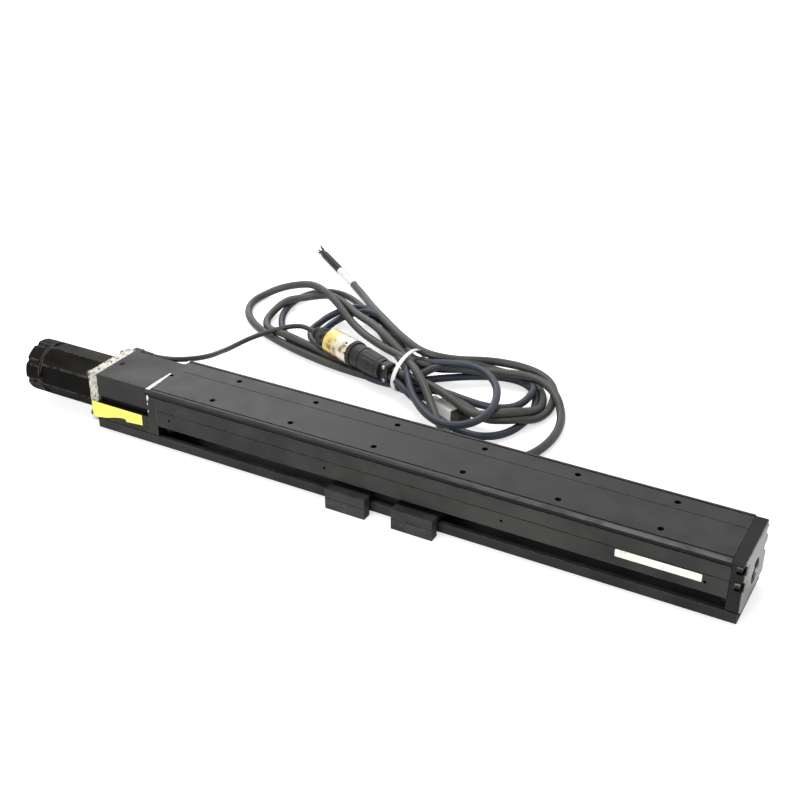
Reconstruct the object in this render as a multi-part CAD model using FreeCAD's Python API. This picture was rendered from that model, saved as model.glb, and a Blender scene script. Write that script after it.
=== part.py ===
import FreeCAD, Part
import math
import os

# Ball screw linear module, as it lies in the picture: mounting face up, slider feet down.
# X runs along the screw from the motor to the far end, Z is up, and the origin is under
# the middle of the module on the surface that the slider feet stand on. Millimetres.

# Body section
BODY_LENGTH = 638.0
BODY_HEIGHT = 68.0
WALL_HALF = 39.0
WALL = 8.0
TOP_PLATE = 12.0
EDGE_OVERHANG = 3.0
EDGE_HEIGHT = 6.0
EDGE_ROUND = 2.8
BEAD_WIDTH = 4.6
BEAD_LINE_WIDTH = 1.8
BEAD_LINE_DEPTH = 1.4
BEAD_UNDERCUT = 3.2
SLOT_HEIGHT = 13.5
SCREW_DEPTH = 33.0
LINE_WIDTH = 0.9
LINE_DEPTH = 0.8
SIDE_LINE_DEPTH = 25.0
TOP_LINE_Y = 13.0

# Mounting face holes and the small side holes
HOLE_PITCH = 100.0
HOLE_PAIRS = 6
HOLE_ROWS = 50.0
HOLE_RADIUS = 3.3
HOLE_DEPTH = 10.0
FIRST_HOLE = 68.0
SIDE_HOLE_RADIUS = 1.6
SIDE_HOLE_DEPTH = 5.0
SIDE_HOLE_PITCH = 200.0
SIDE_HOLE_COUNT = 4
FIRST_SIDE_HOLE = 17.0

# Bottom cover
COVER_HEIGHT = 11.0
COVER_SHEET = 2.0
COVER_LIP = 4.5
COVER_GAP = 1.2
COVER_SCREW_Y = 20.0
COVER_SCREW_INSET = 15.0
COVER_SCREW_RADIUS = 1.8
COVER_HEAD_RADIUS = 3.6
COVER_HEAD = 1.8
COVER_SCREW_GRIP = 9.0

# End pieces
DRIVE_BLOCK = 12.0
END_CAP = 12.0
END_PLATE = 2.0
END_PLATE_INSET = 1.5
CAP_CORNER = 4.0
END_PLATE_HOLE = 12.5
CAP_WEB = 5.0
CAP_SCREW_DROPS = (10.0, 28.0)
CAP_NOTCH_HALF = 5.2
CAP_SCREW_RADIUS = 2.5
CAP_SCREW_GRIP = 15.0
CAP_HEAD_RADIUS = 4.25
CAP_HEAD = 5.0
LOCK_HOLE_RADIUS = 2.4
LOCK_HOLE_DEPTH = 6.0

# Coupling housing
HOUSING_LENGTH = 74.0
HOOD_HALF = 34.5
HOOD_WALL = 5.0
HOOD_DROP = 3.0
HOOD_ROUND = 1.2
LEDGE_DROP = 36.0
SHADOW_GROOVE = 6.5
SHADOW_DEPTH = 3.5
HOOD_SCREW_INSET = 9.0
HOOD_SCREW_RADIUS = 2.0
HOOD_HEAD_RADIUS = 3.5
HOOD_HEAD = 3.0
ADAPTER = 5.0
ADAPTER_TONGUE = 16.0
ADAPTER_TONGUE_HALF = 12.0
ADAPTER_TONGUE_HEIGHT = 7.0

# Motor
FLANGE = 7.0
MOTOR_RADIUS = 31.0
MOTOR_LENGTH = 82.0
MOTOR_WALL = 3.5
FLAT_COUNT = 8
FLAT_DISTANCE = 28.9
FLAT_TURN = 35.5
FLAT_MARGIN = 3.0
REAR_WALL = 6.0
REAR_CAP = 20.0
REAR_CAP_WALL = 2.5
REAR_CAP_RIM = 6.5
REAR_CAP_ROUND = 1.5
NOTCH_RADIUS = 4.0
ROTOR_RADIUS = 16.0
AIR_GAP = 0.6
STATOR_MARGIN = 10.0
SHAFT_RADIUS = 6.0
ENCODER_RADIUS = 20.0
ENCODER_DISC = 3.0
ENCODER_OUT = 10.0
FLANGE_SCREW_Y = 28.5
FLANGE_SCREW_Z = 24.5
FLANGE_SCREW_RADIUS = 2.5
FLANGE_HEAD_RADIUS = 4.2
FLANGE_HEAD = 4.5

# Bearings: the fixed pair, the far support and the two in the motor
BALL_BORE = 6.0
BALL_OUTER = 14.0
BALL_WIDTH = 8.0
MOTOR_BALL_OUTER = 12.0
MOTOR_BALL_WIDTH = 6.0
RACE = 2.6
SHIELD_GAP = 0.25
CARTRIDGE_RADIUS = 18.0
CARTRIDGE_FLANGE = 4.0
CARTRIDGE_RIM = 24.0
CARTRIDGE_LIP = 3.0

# Screw, nut and coupling
SCREW_RADIUS = 7.5
SCREW_LEAD = 10.0
SCREW_TAIL_RADIUS = 5.0
LOCK_NUT = 8.0
LOCK_NUT_RADIUS = 10.5
NUT_RADIUS = 14.0
NUT_BODY = 36.0
NUT_FLANGE = 8.0
NUT_FLANGE_RADIUS = 24.0
NUT_SCREW_CIRCLE = 18.8
NUT_SCREW_ANGLE = 14.0
NUT_SCREW_RADIUS = 2.0
NUT_SCREW_GRIP = 14.0
NUT_HEAD_RADIUS = 3.2
NUT_HEAD = 3.0
COUPLING_RADIUS = 17.0
COUPLING_GAP = 3.0
HUB_LENGTH = 16.0
SPIDER_LENGTH = 10.0
SPIDER_HOLE = 6.5
SPIDER_WALL = 2.0
JAW_COUNT = 3

# Linear guides
RAIL_WIDTH = 9.0
RAIL_HEIGHT = 7.0
RAIL_END_GAP = 4.0
RAIL_VEE = 0.9
RAIL_SCREW_PITCH = 120.0
RAIL_SCREW_INSET = 12.0
RAIL_SCREW_RADIUS = 1.5
RAIL_SCREW_GRIP = 6.0
RAIL_HEAD_RADIUS = 2.6
RAIL_HEAD = 3.0
GUIDE_HEIGHT = 13.0
BLOCK_WIDTH = 18.0
BLOCK_LENGTH = 33.0
BLOCK_TOP_GAP = 1.5
SEAL = 3.0
SEAL_INSET = 0.6

# Slider
SLIDER_LENGTH = 124.0
SLIDER_REST = 225.0
ARM_LENGTH = 46.5
ARM_REACH = 52.0
ARM_STEP = 41.0
ARM_THICKNESS = 6.0
ARM_GAP = 2.0
PLATE_GAP = 6.0
NUT_GAP = 1.5
FLANGE_SEAT = 12.0
CHEEK_END = 2.0
BLOCK_INSET = 32.0
RISER_DROP = 4.0
RISER_HEIGHT = 13.0
LOAD_HOLE_RADIUS = 2.1
LOAD_HOLE_DEPTH = 8.0
LOAD_HOLE_OFFSET = 12.0
RISER_SCREW_OFFSET = 18.0
RISER_SCREW_RADIUS = 2.0
RISER_SCREW_GRIP = 7.0
RISER_HEAD_RADIUS = 3.5
RISER_HEAD = 4.0
BUMPER = 6.0
BUMPER_RADIUS = 5.0
BUMPER_Y = 20.0

# Clearances: seats, running fits and faces that slide past each other
SEAT = 0.02
RUNNING = 0.06
SLIDING = 0.3
SIDE_GAP = 1.0

# Motor lead and its boot on the back of the motor flange
LEAD_RADIUS = 3.2
BOOT_START = 1.0
BOOT_LENGTH = 14.0
BOOT_DEPTH = 14.0
BOOT_DROP = 8.0
BOOT_HALF_HEIGHT = 4.6
BOOT_ROUND = 2.4
BOOT_NOSE = 13.0
BOOT_NOSE_OUT = 10.0
BOOT_NOSE_RADIUS = 4.3
BOOT_NOSE_TIP = 3.7
LEAD_ROUTE = (
    (-296.0, 44.5, 61.0),
    (-281.0, 45.5, 61.0),
    (-266.0, 54.5, 59.5),
    (-257.0, 70.0, 56.0),
    (-256.0, 92.0, 49.0),
    (-262.0, 117.0, 40.0),
    (-271.0, 143.0, 30.5),
    (-279.0, 168.0, 21.5),
    (-285.0, 194.0, 15.0),
    (-283.0, 220.0, 13.5),
    (-270.0, 243.0, 16.0),
    (-250.0, 257.0, 22.0),
    (-229.0, 257.5, 28.0),
    (-212.5, 250.2, 31.0),
    (-197.5, 244.6, 31.0),
)

# Circular connector between the motor lead and the long cables
CONNECTOR_START = (-165.7, 232.7, 31.0)
CONNECTOR_TURN = -20.5
RING_LENGTH = 44.0
RING_RADIUS = 16.5
RING_WALL = 2.5
RECEPTACLE_RADIUS = 11.0
RECEPTACLE_LENGTH = 22.0
RECEPTACLE_NOSE = 12.0
RECEPTACLE_TIP_RADIUS = 6.4
RECEPTACLE_STEP = 1.0
SHELL_LENGTH = 56.0
SHELL_RADIUS = 15.0
SHELL_TIP_RADIUS = 12.5
CLAMP_LENGTH = 13.5
CLAMP_HALF = 11.5
CLAMP_WIDTH_HALF = 7.0
CLAMP_ROUND = 2.4

# Long cables: tied hank, loose tail with its marker sleeve, and the white plug
CABLE_RADIUS = 5.0
SIGNAL_RADIUS = 4.5
TIE_CENTRE = (-52.0, 222.0, 24.0)
TIE_HALF_WIDTH = 40.0
TIE_HALF_HEIGHT = 22.5
TIE_BAND = 5.0
TIE_THICKNESS = 1.4
PINCH_LENGTH = 30.0
NECK_LENGTH = 36.0
NECK_CENTRE = (241.0, 17.0)
NECK_HALF_WIDTH = 22.0
NECK_HALF_HEIGHT = 16.0
LEADER_LENGTH = 20.0
PLUG_LEAD = 42.0
LEFT_LOBE = (-215.0, 302.0, 174.0, 68.0, 153.4)
LEFT_OPENING = (-222.0, 312.0, 128.0, 36.0, 153.4)
FRONT_LOBE = (-125.0, 214.0, 72.0, 30.0, 165.0)
RIGHT_LOBE = (50.0, 225.0, 105.0, 100.0, 0.0)
RIGHT_OPENING = (38.0, 210.0, 68.0, 60.0, 0.0)
LEFT_LOBE_HEIGHT = 14.0
RIGHT_LOBE_HEIGHT = 22.0
TAIL_ROUTE = (
    (-96.0, 300.0, 12.0),
    (-122.0, 324.0, 8.0),
    (-153.0, 350.0, 5.6),
    (-187.0, 380.0, 5.6),
    (-222.0, 414.0, 5.6),
    (-262.0, 449.0, 5.6),
    (-306.0, 484.0, 5.6),
)
SLEEVE_LENGTH = 54.0
SLEEVE_WALL = 0.5
SHRINK_LENGTH = 79.0
SHRINK_RADIUS = 5.5
SHRINK_TIP_RADIUS = 4.2
SHRINK_TIP = 12.0
PLUG_START = (-7.0, 198.0, 0.0)
PLUG_TURN = -24.0
PLUG_LENGTH = 60.0
PLUG_HALF_WIDTH = 9.0
PLUG_HEIGHT = 14.0
PLUG_NECK = 14.0
PLUG_NECK_HALF = 5.5
PLUG_ROUND = 1.5

# Levels, from the surface up
Z_COVER = RISER_DROP
Z_FLOOR = Z_COVER + COVER_SHEET
Z_LIP = Z_COVER + COVER_HEIGHT
Z_ENDS = Z_LIP + COVER_GAP
Z_WALL = Z_LIP + SLOT_HEIGHT
Z_TOP = Z_COVER + BODY_HEIGHT
Z_PLATE = Z_TOP - TOP_PLATE
Z_SCREW = Z_TOP - SCREW_DEPTH
Z_HOOD = Z_TOP - HOOD_DROP
Z_ROOF = Z_HOOD - HOOD_WALL
Z_LEDGE = Z_TOP - LEDGE_DROP
Z_ARM = Z_LIP + ARM_GAP
Z_ARM_TOP = Z_ARM + ARM_THICKNESS
Z_PLATE_BOTTOM = Z_FLOOR + PLATE_GAP
Z_BLOCK = Z_PLATE - GUIDE_HEIGHT

# Widths, from the middle out
INNER_HALF = WALL_HALF - WALL
PLATE_HALF = WALL_HALF + EDGE_OVERHANG
TONGUE_HALF = WALL_HALF - COVER_LIP - 2 * COVER_GAP
SLIDER_HALF = INNER_HALF - SIDE_GAP
CHEEK_INNER = NUT_RADIUS + NUT_GAP
RAIL_Y = SLIDER_HALF - BLOCK_WIDTH / 2
HOOD_INNER = HOOD_HALF - HOOD_WALL
ARM_MIDDLE = (ARM_STEP + ARM_REACH) / 2
CAP_SCREW_Y = INNER_HALF + WALL / 2

# Stations along the module, from the motor's rear to the far end
TOTAL_LENGTH = (REAR_CAP + MOTOR_LENGTH + FLANGE + ADAPTER + HOUSING_LENGTH + DRIVE_BLOCK
                + BODY_LENGTH + END_CAP + END_PLATE)
X_REAR = -TOTAL_LENGTH / 2
X_CASE = X_REAR + REAR_CAP
X_FLANGE = X_CASE + MOTOR_LENGTH
X_ADAPTER = X_FLANGE + FLANGE
X_HOUSING = X_ADAPTER + ADAPTER
X_DRIVE = X_HOUSING + HOUSING_LENGTH
X_BODY = X_DRIVE + DRIVE_BLOCK
X_CAP = X_BODY + BODY_LENGTH
X_PLATE = X_CAP + END_CAP
X_END = X_PLATE + END_PLATE
X_FIXED_END = X_DRIVE + 2 * BALL_WIDTH
X_SUPPORT = X_PLATE - BALL_WIDTH - END_PLATE
X_NUT_END = X_DRIVE - LOCK_NUT
X_SCREW_HUB = X_NUT_END - LOCK_NUT / 2 - HUB_LENGTH
X_SPIDER = X_SCREW_HUB - SPIDER_LENGTH
X_MOTOR_HUB = X_SPIDER - HUB_LENGTH
X_SLIDER = X_BODY + SLIDER_REST
X_SLIDER_END = X_SLIDER + SLIDER_LENGTH
X_CHEEK = X_SLIDER + FLANGE_SEAT

SIDES = (-1, 1)
parts = {}


def vec(x, y, z):
    return FreeCAD.Vector(x, y, z)


def block(x, y, z):
    """Box between pairs of limits on the three axes."""
    return Part.makeBox(x[1] - x[0], y[1] - y[0], z[1] - z[0], vec(x[0], y[0], z[0]))


def rod(x0, x1, radius, y=0.0, z=Z_SCREW):
    """Cylinder along X, on the screw's axis unless told otherwise."""
    return Part.makeCylinder(radius, x1 - x0, vec(x0, y, z), vec(1, 0, 0))


def ring(x0, x1, outer, inner, y=0.0, z=Z_SCREW):
    return rod(x0, x1, outer, y, z).cut(rod(x0, x1, inner, y, z))


def post(x, y, z0, z1, radius):
    """Upright cylinder."""
    return Part.makeCylinder(radius, z1 - z0, vec(x, y, z0))


def pin(x, z, y0, y1, radius):
    """Cylinder along Y."""
    return Part.makeCylinder(radius, y1 - y0, vec(x, y0, z), vec(0, 1, 0))


def section(half, x0, x1):
    """Solid along X from the right half of a symmetric outline, given as (y, z) points."""
    left = [(-y, z) for y, z in reversed(half)]
    corners = []
    for y, z in list(half) + left:
        corner = vec(x0, y, z)
        if not corners or (corner - corners[-1]).Length > 1e-6:
            corners.append(corner)
    if (corners[0] - corners[-1]).Length > 1e-6:
        corners.append(corners[0])
    else:
        corners[-1] = corners[0]
    return Part.Face(Part.makePolygon(corners)).extrude(vec(x1 - x0, 0, 0))


def joined(shapes):
    """One solid from pieces that overlap or share a face."""
    whole = shapes[0]
    for shape in shapes[1:]:
        whole = whole.fuse(shape)
    return whole.removeSplitter()


def less(shape, cutters):
    for cutter in cutters:
        shape = shape.cut(cutter)
    return shape


def rounded(shape, radius, chosen):
    """Round the edges whose middle point passes the test."""
    edges = []
    for edge in shape.Edges:
        if chosen(edge.CenterOfMass):
            edges.append(edge)
    return shape.makeFillet(radius, edges)


def near(value, target):
    return abs(value - target) < 0.01


def solids_of(shape):
    return shape.Solids if shape.Solids else [shape]


def save(name, shape):
    """Keep a node's shape: one solid, or a group of separate solids."""
    group = shape if isinstance(shape, list) else [shape]
    loose = []
    for piece in group:
        loose.extend(solids_of(piece))
    parts[name] = loose[0] if len(loose) == 1 else Part.makeCompound(loose)


def body_section(x0, x1):
    """Outer outline of the body: walls with a wider, rounded top plate edge."""
    half = (
        (0, Z_ENDS),
        (WALL_HALF, Z_ENDS),
        (WALL_HALF, Z_TOP - EDGE_HEIGHT),
        (PLATE_HALF, Z_TOP - EDGE_HEIGHT),
        (PLATE_HALF, Z_TOP),
        (0, Z_TOP),
    )
    solid = section(half, x0, x1)
    return rounded(solid, EDGE_ROUND, lambda p: near(abs(p.y), PLATE_HALF) and near(p.z, Z_TOP))


def mount_hole_places():
    """Hole pairs on the mounting face."""
    places = []
    for index in range(HOLE_PAIRS):
        for side in SIDES:
            places.append((X_BODY + FIRST_HOLE + HOLE_PITCH * index, side * HOLE_ROWS / 2))
    return places


def rail_screw_places():
    start = X_BODY + RAIL_END_GAP + RAIL_SCREW_INSET
    stop = X_CAP - RAIL_END_GAP - RAIL_SCREW_INSET
    count = int((stop - start) // RAIL_SCREW_PITCH) + 1
    places = []
    for index in range(count):
        for side in SIDES:
            places.append((start + RAIL_SCREW_PITCH * index, side * RAIL_Y))
    return places


def cap_screw_places():
    places = []
    for drop in CAP_SCREW_DROPS:
        for side in SIDES:
            places.append((side * CAP_SCREW_Y, Z_TOP - drop))
    return places


def make_base_channel():
    """Extruded base: top plate, two side walls, slots left open below them."""
    channel = body_section(X_BODY, X_CAP)
    cuts = [
        block((X_BODY, X_CAP), (-INNER_HALF, INNER_HALF), (0, Z_PLATE)),
        block((X_BODY, X_CAP), (-PLATE_HALF, PLATE_HALF), (0, Z_WALL)),
        block((X_BODY, X_CAP), (TOP_LINE_Y, TOP_LINE_Y + LINE_WIDTH), (Z_TOP - LINE_DEPTH, Z_TOP)),
    ]
    line_z = Z_TOP - SIDE_LINE_DEPTH
    cuts += bead_lines(X_BODY, X_CAP)
    for side in SIDES:
        limits = sorted((side * (WALL_HALF - LINE_DEPTH), side * WALL_HALF))
        cuts.append(block((X_BODY, X_CAP), limits, (line_z, line_z + LINE_WIDTH)))
        for index in range(SIDE_HOLE_COUNT):
            x = X_BODY + FIRST_SIDE_HOLE + SIDE_HOLE_PITCH * index
            limits = sorted((side * (WALL_HALF - SIDE_HOLE_DEPTH), side * WALL_HALF))
            cuts.append(pin(x, Z_SCREW, limits[0], limits[1], SIDE_HOLE_RADIUS))
    for x, y in mount_hole_places():
        cuts.append(post(x, y, Z_TOP - HOLE_DEPTH, Z_TOP, HOLE_RADIUS))
    for x, y in rail_screw_places():
        cuts.append(post(x, y, Z_PLATE, Z_PLATE + RAIL_SCREW_GRIP, RAIL_SCREW_RADIUS + SEAT))
    depth = CAP_SCREW_GRIP - CAP_WEB
    for y, z in cap_screw_places():
        cuts.append(rod(X_CAP - depth, X_CAP, CAP_SCREW_RADIUS + SEAT, y, z))
    save("base_channel", less(channel, cuts))


def bead_lines(start, end):
    """Grooves above and below the rounded edge, on both sides."""
    bead = PLATE_HALF - BEAD_WIDTH
    under = Z_TOP - EDGE_HEIGHT
    cuts = []
    for side in SIDES:
        limits = sorted((side * bead, side * (bead - BEAD_LINE_WIDTH)))
        cuts.append(block((start, end), limits, (Z_TOP - BEAD_LINE_DEPTH, Z_TOP)))
        limits = sorted((side * (WALL_HALF - BEAD_LINE_DEPTH), side * WALL_HALF))
        cuts.append(block((start, end), limits, (under - BEAD_UNDERCUT, under)))
    return cuts


def make_drive_end_block():
    """Block at the motor end that carries the fixed bearings, flush with the body."""
    tongue = block((X_DRIVE, X_BODY), (-TONGUE_HALF, TONGUE_HALF), (Z_FLOOR, Z_ENDS))
    solid = joined([body_section(X_DRIVE, X_BODY), tongue])
    middle = (X_DRIVE + X_BODY) / 2
    cuts = [
        rod(X_DRIVE, X_BODY, CARTRIDGE_RADIUS + SEAT),
        post(middle, 0, Z_TOP - LOCK_HOLE_DEPTH, Z_TOP, LOCK_HOLE_RADIUS),
    ]
    for side in SIDES:
        cuts.append(cover_screw_hole(middle, side * COVER_SCREW_Y))
    cuts += bead_lines(X_DRIVE, X_BODY)
    save("drive_end_block", less(solid, cuts))


def cover_screw_hole(x, y):
    return post(x, y, Z_FLOOR, Z_COVER + COVER_SCREW_GRIP, COVER_SCREW_RADIUS + SEAT)


def make_end_cap():
    """Far end block with the support bearing's seat and notches for its screws."""
    upper = body_section(X_CAP, X_PLATE)
    upper = upper.cut(back_corner(PLATE_HALF, Z_TOP))
    tongue = block((X_CAP, X_PLATE), (-TONGUE_HALF, TONGUE_HALF), (Z_FLOOR, Z_ENDS))
    cuts = [
        rod(X_SUPPORT, X_PLATE, BALL_OUTER + SEAT),
        rod(X_CAP, X_SUPPORT, BALL_OUTER - RACE),
    ]
    for y, z in cap_screw_places():
        cuts.append(rod(X_CAP, X_CAP + CAP_WEB, CAP_SCREW_RADIUS + SEAT, y, z))
        cuts.append(cap_notch(y, z))
    joint = (X_CAP, X_CAP + LINE_WIDTH)
    cuts.append(block(joint, (-PLATE_HALF, PLATE_HALF), (Z_TOP - LINE_DEPTH, Z_TOP)))
    for side in SIDES:
        cuts.append(cover_screw_hole((X_CAP + X_PLATE) / 2, side * COVER_SCREW_Y))
        limits = sorted((side * (WALL_HALF - LINE_DEPTH), side * WALL_HALF))
        cuts.append(block(joint, limits, (Z_ENDS, Z_TOP)))
    save("end_cap", less(joined([upper, tongue]), cuts))


def back_corner(y, z):
    """Wedge that takes the upper back corner off the far end."""
    points = (vec(X_CAP, y, z), vec(X_CAP, y - CAP_CORNER, z), vec(X_CAP, y, z - CAP_CORNER))
    outline = Part.makePolygon(points + points[:1])
    return Part.Face(outline).extrude(vec(X_END - X_CAP, 0, 0))


def cap_notch(y, z):
    """Recess for one screw head, open to the side and to the end."""
    inner = abs(y) - CAP_NOTCH_HALF
    limits = sorted((math.copysign(inner, y), math.copysign(PLATE_HALF + 1, y)))
    return block((X_CAP + CAP_WEB, X_END), limits, (z - CAP_NOTCH_HALF, z + CAP_NOTCH_HALF))


def make_end_plate():
    """Thin bare plate over the far end, with a hole over the bearing."""
    half = WALL_HALF - END_PLATE_INSET
    plate = block((X_PLATE, X_END), (-half, half), (Z_ENDS, Z_TOP - END_PLATE_INSET))
    plate = plate.cut(back_corner(half, Z_TOP - END_PLATE_INSET))
    cuts = [rod(X_PLATE, X_END, END_PLATE_HOLE)]
    for y, z in cap_screw_places():
        cuts.append(cap_notch(y, z))
    save("end_plate", less(plate, cuts))


def make_end_cap_screws():
    screws = []
    seat = X_CAP + CAP_WEB
    for y, z in cap_screw_places():
        head = rod(seat, seat + CAP_HEAD, CAP_HEAD_RADIUS, y, z)
        shank = rod(seat - CAP_SCREW_GRIP, seat, CAP_SCREW_RADIUS, y, z)
        screws.append(joined([head, shank]))
    save("end_cap_screws", screws)


def cover_screw_places():
    rows = (X_HOUSING + COVER_SCREW_INSET, (X_DRIVE + X_BODY) / 2, (X_CAP + X_PLATE) / 2)
    places = []
    for x in rows:
        for side in SIDES:
            places.append((x, side * COVER_SCREW_Y))
    return places


def make_bottom_cover():
    """Folded channel that closes the open side, with turned-in lips along the slots."""
    half = (
        (0, Z_COVER),
        (WALL_HALF, Z_COVER),
        (WALL_HALF, Z_LIP),
        (WALL_HALF - COVER_LIP, Z_LIP),
        (WALL_HALF - COVER_LIP, Z_LIP - COVER_SHEET),
        (WALL_HALF - COVER_SHEET, Z_LIP - COVER_SHEET),
        (WALL_HALF - COVER_SHEET, Z_FLOOR),
        (0, Z_FLOOR),
    )
    cover = section(half, X_HOUSING, X_PLATE)
    cuts = []
    for x, y in cover_screw_places():
        cuts.append(post(x, y, Z_COVER, Z_FLOOR, COVER_SCREW_RADIUS + SEAT))
    save("bottom_cover", less(cover, cuts))


def make_cover_screws():
    screws = []
    for x, y in cover_screw_places():
        head = post(x, y, Z_COVER - COVER_HEAD, Z_COVER, COVER_HEAD_RADIUS)
        shank = post(x, y, Z_COVER, Z_COVER + COVER_SCREW_GRIP, COVER_SCREW_RADIUS)
        screws.append(joined([head, shank]))
    save("cover_screws", screws)


def make_coupling_cradle():
    """Lower half of the coupling housing, a trough with wide side ledges."""
    trough = Z_SCREW - COUPLING_RADIUS - COUPLING_GAP
    half = (
        (0, Z_FLOOR),
        (TONGUE_HALF, Z_FLOOR),
        (TONGUE_HALF, Z_ENDS),
        (WALL_HALF, Z_ENDS),
        (WALL_HALF, Z_LEDGE),
        (HOOD_INNER, Z_LEDGE),
        (HOOD_INNER, trough),
        (0, trough),
    )
    cradle = section(half, X_HOUSING, X_DRIVE)
    cuts = []
    for side in SIDES:
        cuts.append(cover_screw_hole(X_HOUSING + COVER_SCREW_INSET, side * COVER_SCREW_Y))
    cuts.append(rod(X_DRIVE - CARTRIDGE_FLANGE, X_DRIVE, CARTRIDGE_RIM + SLIDING))
    save("coupling_cradle", less(cradle, cuts))


def make_coupling_hood():
    """Cast cover over the coupling, with a shadow groove above its seat."""
    half = (
        (HOOD_INNER, Z_LEDGE),
        (HOOD_HALF - SHADOW_DEPTH, Z_LEDGE),
        (HOOD_HALF - SHADOW_DEPTH, Z_LEDGE + SHADOW_GROOVE),
        (HOOD_HALF, Z_LEDGE + SHADOW_GROOVE),
        (HOOD_HALF, Z_HOOD),
        (0, Z_HOOD),
    )
    outer = section(half, X_HOUSING, X_DRIVE)
    outer = rounded(outer, HOOD_ROUND, lambda p: near(abs(p.y), HOOD_HALF) and near(p.z, Z_HOOD))
    x = X_HOUSING + HOOD_SCREW_INSET
    cuts = [
        block((X_HOUSING, X_DRIVE), (-HOOD_INNER, HOOD_INNER), (Z_LEDGE, Z_ROOF)),
        post(x, 0, Z_ROOF, Z_HOOD, HOOD_SCREW_RADIUS + SEAT),
        post(x, 0, Z_HOOD - HOOD_HEAD - SLIDING, Z_HOOD, HOOD_HEAD_RADIUS + SLIDING),
    ]
    save("coupling_hood", less(outer, cuts))
    seat = Z_HOOD - HOOD_HEAD - SLIDING
    head = post(x, 0, seat, seat + HOOD_HEAD, HOOD_HEAD_RADIUS)
    shank = post(x, 0, Z_ROOF - ADAPTER_TONGUE_HEIGHT, seat, HOOD_SCREW_RADIUS)
    save("hood_screw", joined([head, shank]))


def make_motor_adapter():
    """Bright plate between motor and housing; its tongue holds the hood."""
    half = (
        (0, Z_ENDS),
        (WALL_HALF, Z_ENDS),
        (WALL_HALF, Z_LEDGE),
        (HOOD_HALF, Z_LEDGE),
        (HOOD_HALF, Z_HOOD),
        (0, Z_HOOD),
    )
    plate = section(half, X_ADAPTER, X_HOUSING)
    tongue = block((X_HOUSING, X_HOUSING + ADAPTER_TONGUE),
                   (-ADAPTER_TONGUE_HALF, ADAPTER_TONGUE_HALF),
                   (Z_ROOF - ADAPTER_TONGUE_HEIGHT, Z_ROOF))
    cuts = [
        rod(X_ADAPTER, X_HOUSING, MOTOR_BALL_OUTER - RACE),
        post(X_HOUSING + HOOD_SCREW_INSET, 0, Z_ROOF - ADAPTER_TONGUE_HEIGHT, Z_ROOF,
             HOOD_SCREW_RADIUS + SEAT),
    ]
    for y, z in flange_screw_places():
        cuts.append(rod(X_ADAPTER, X_HOUSING, FLANGE_SCREW_RADIUS + SEAT, y, z))
    save("motor_adapter_plate", less(joined([plate, tongue]), cuts))


def flange_screw_places():
    places = []
    for side in SIDES:
        for level in SIDES:
            places.append((side * FLANGE_SCREW_Y, Z_SCREW + level * FLANGE_SCREW_Z))
    return places


def make_motor_flange():
    """Square front end of the motor, with the front bearing's seat."""
    half_height = Z_HOOD - Z_SCREW
    flange = block((X_FLANGE, X_ADAPTER), (-HOOD_HALF, HOOD_HALF),
                   (Z_SCREW - half_height, Z_SCREW + half_height))
    lip = X_ADAPTER - (FLANGE - MOTOR_BALL_WIDTH)
    cuts = [
        rod(X_FLANGE, lip, MOTOR_BALL_OUTER + SEAT),
        rod(lip, X_ADAPTER, MOTOR_BALL_OUTER - RACE),
    ]
    for y, z in flange_screw_places():
        cuts.append(rod(X_FLANGE, X_ADAPTER, FLANGE_SCREW_RADIUS + SEAT, y, z))
    save("motor_flange", less(flange, cuts))
    screws = []
    for y, z in flange_screw_places():
        head = rod(X_FLANGE - FLANGE_HEAD, X_FLANGE, FLANGE_HEAD_RADIUS, y, z)
        shank = rod(X_FLANGE, X_HOUSING, FLANGE_SCREW_RADIUS, y, z)
        screws.append(joined([head, shank]))
    save("motor_flange_screws", screws)


def around_screw(shape, degrees):
    """Turn a shape about the screw's axis."""
    turned = shape.copy()
    turned.rotate(vec(0, 0, Z_SCREW), vec(1, 0, 0), degrees)
    return turned


def make_motor_case():
    """Round case with flat panels all round, leaving narrow ribs between them."""
    case = rod(X_CASE, X_FLANGE, MOTOR_RADIUS)
    panel = block((X_CASE + FLAT_MARGIN, X_FLANGE),
                  (FLAT_DISTANCE, 2 * MOTOR_RADIUS),
                  (Z_SCREW - MOTOR_RADIUS, Z_SCREW + MOTOR_RADIUS))
    cuts = []
    for index in range(FLAT_COUNT):
        cuts.append(around_screw(panel, FLAT_TURN + 360 / FLAT_COUNT * index))
    cuts.append(rod(X_CASE + REAR_WALL, X_FLANGE, MOTOR_RADIUS - MOTOR_WALL))
    cuts.append(rod(X_CASE, X_CASE + REAR_WALL, MOTOR_BALL_OUTER + SEAT))
    save("motor_case", less(case, cuts))
    stator_start = X_CASE + REAR_WALL + STATOR_MARGIN
    stator_end = X_FLANGE - STATOR_MARGIN
    save("motor_stator", ring(stator_start, stator_end, MOTOR_RADIUS - MOTOR_WALL - SEAT,
                              ROTOR_RADIUS + AIR_GAP))
    save("motor_rotor", ring(stator_start, stator_end, ROTOR_RADIUS, SHAFT_RADIUS + SEAT))


def make_motor_rear_cap():
    """Encoder cover: a cup whose rim is notched where the ribs end."""
    cup = rod(X_REAR, X_CASE, MOTOR_RADIUS)
    cup = rounded(cup, REAR_CAP_ROUND, lambda p: near(p.x, X_REAR))
    notch = rod(X_REAR, X_CASE, NOTCH_RADIUS, MOTOR_RADIUS + NOTCH_RADIUS / 4)
    cuts = [rod(X_REAR + REAR_CAP_WALL, X_CASE, MOTOR_RADIUS - REAR_CAP_RIM)]
    for index in range(FLAT_COUNT):
        angle = FLAT_TURN + 360 / FLAT_COUNT * (index + 0.5)
        cuts.append(around_screw(notch, angle))
    save("motor_rear_cap", less(cup, cuts))


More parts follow.
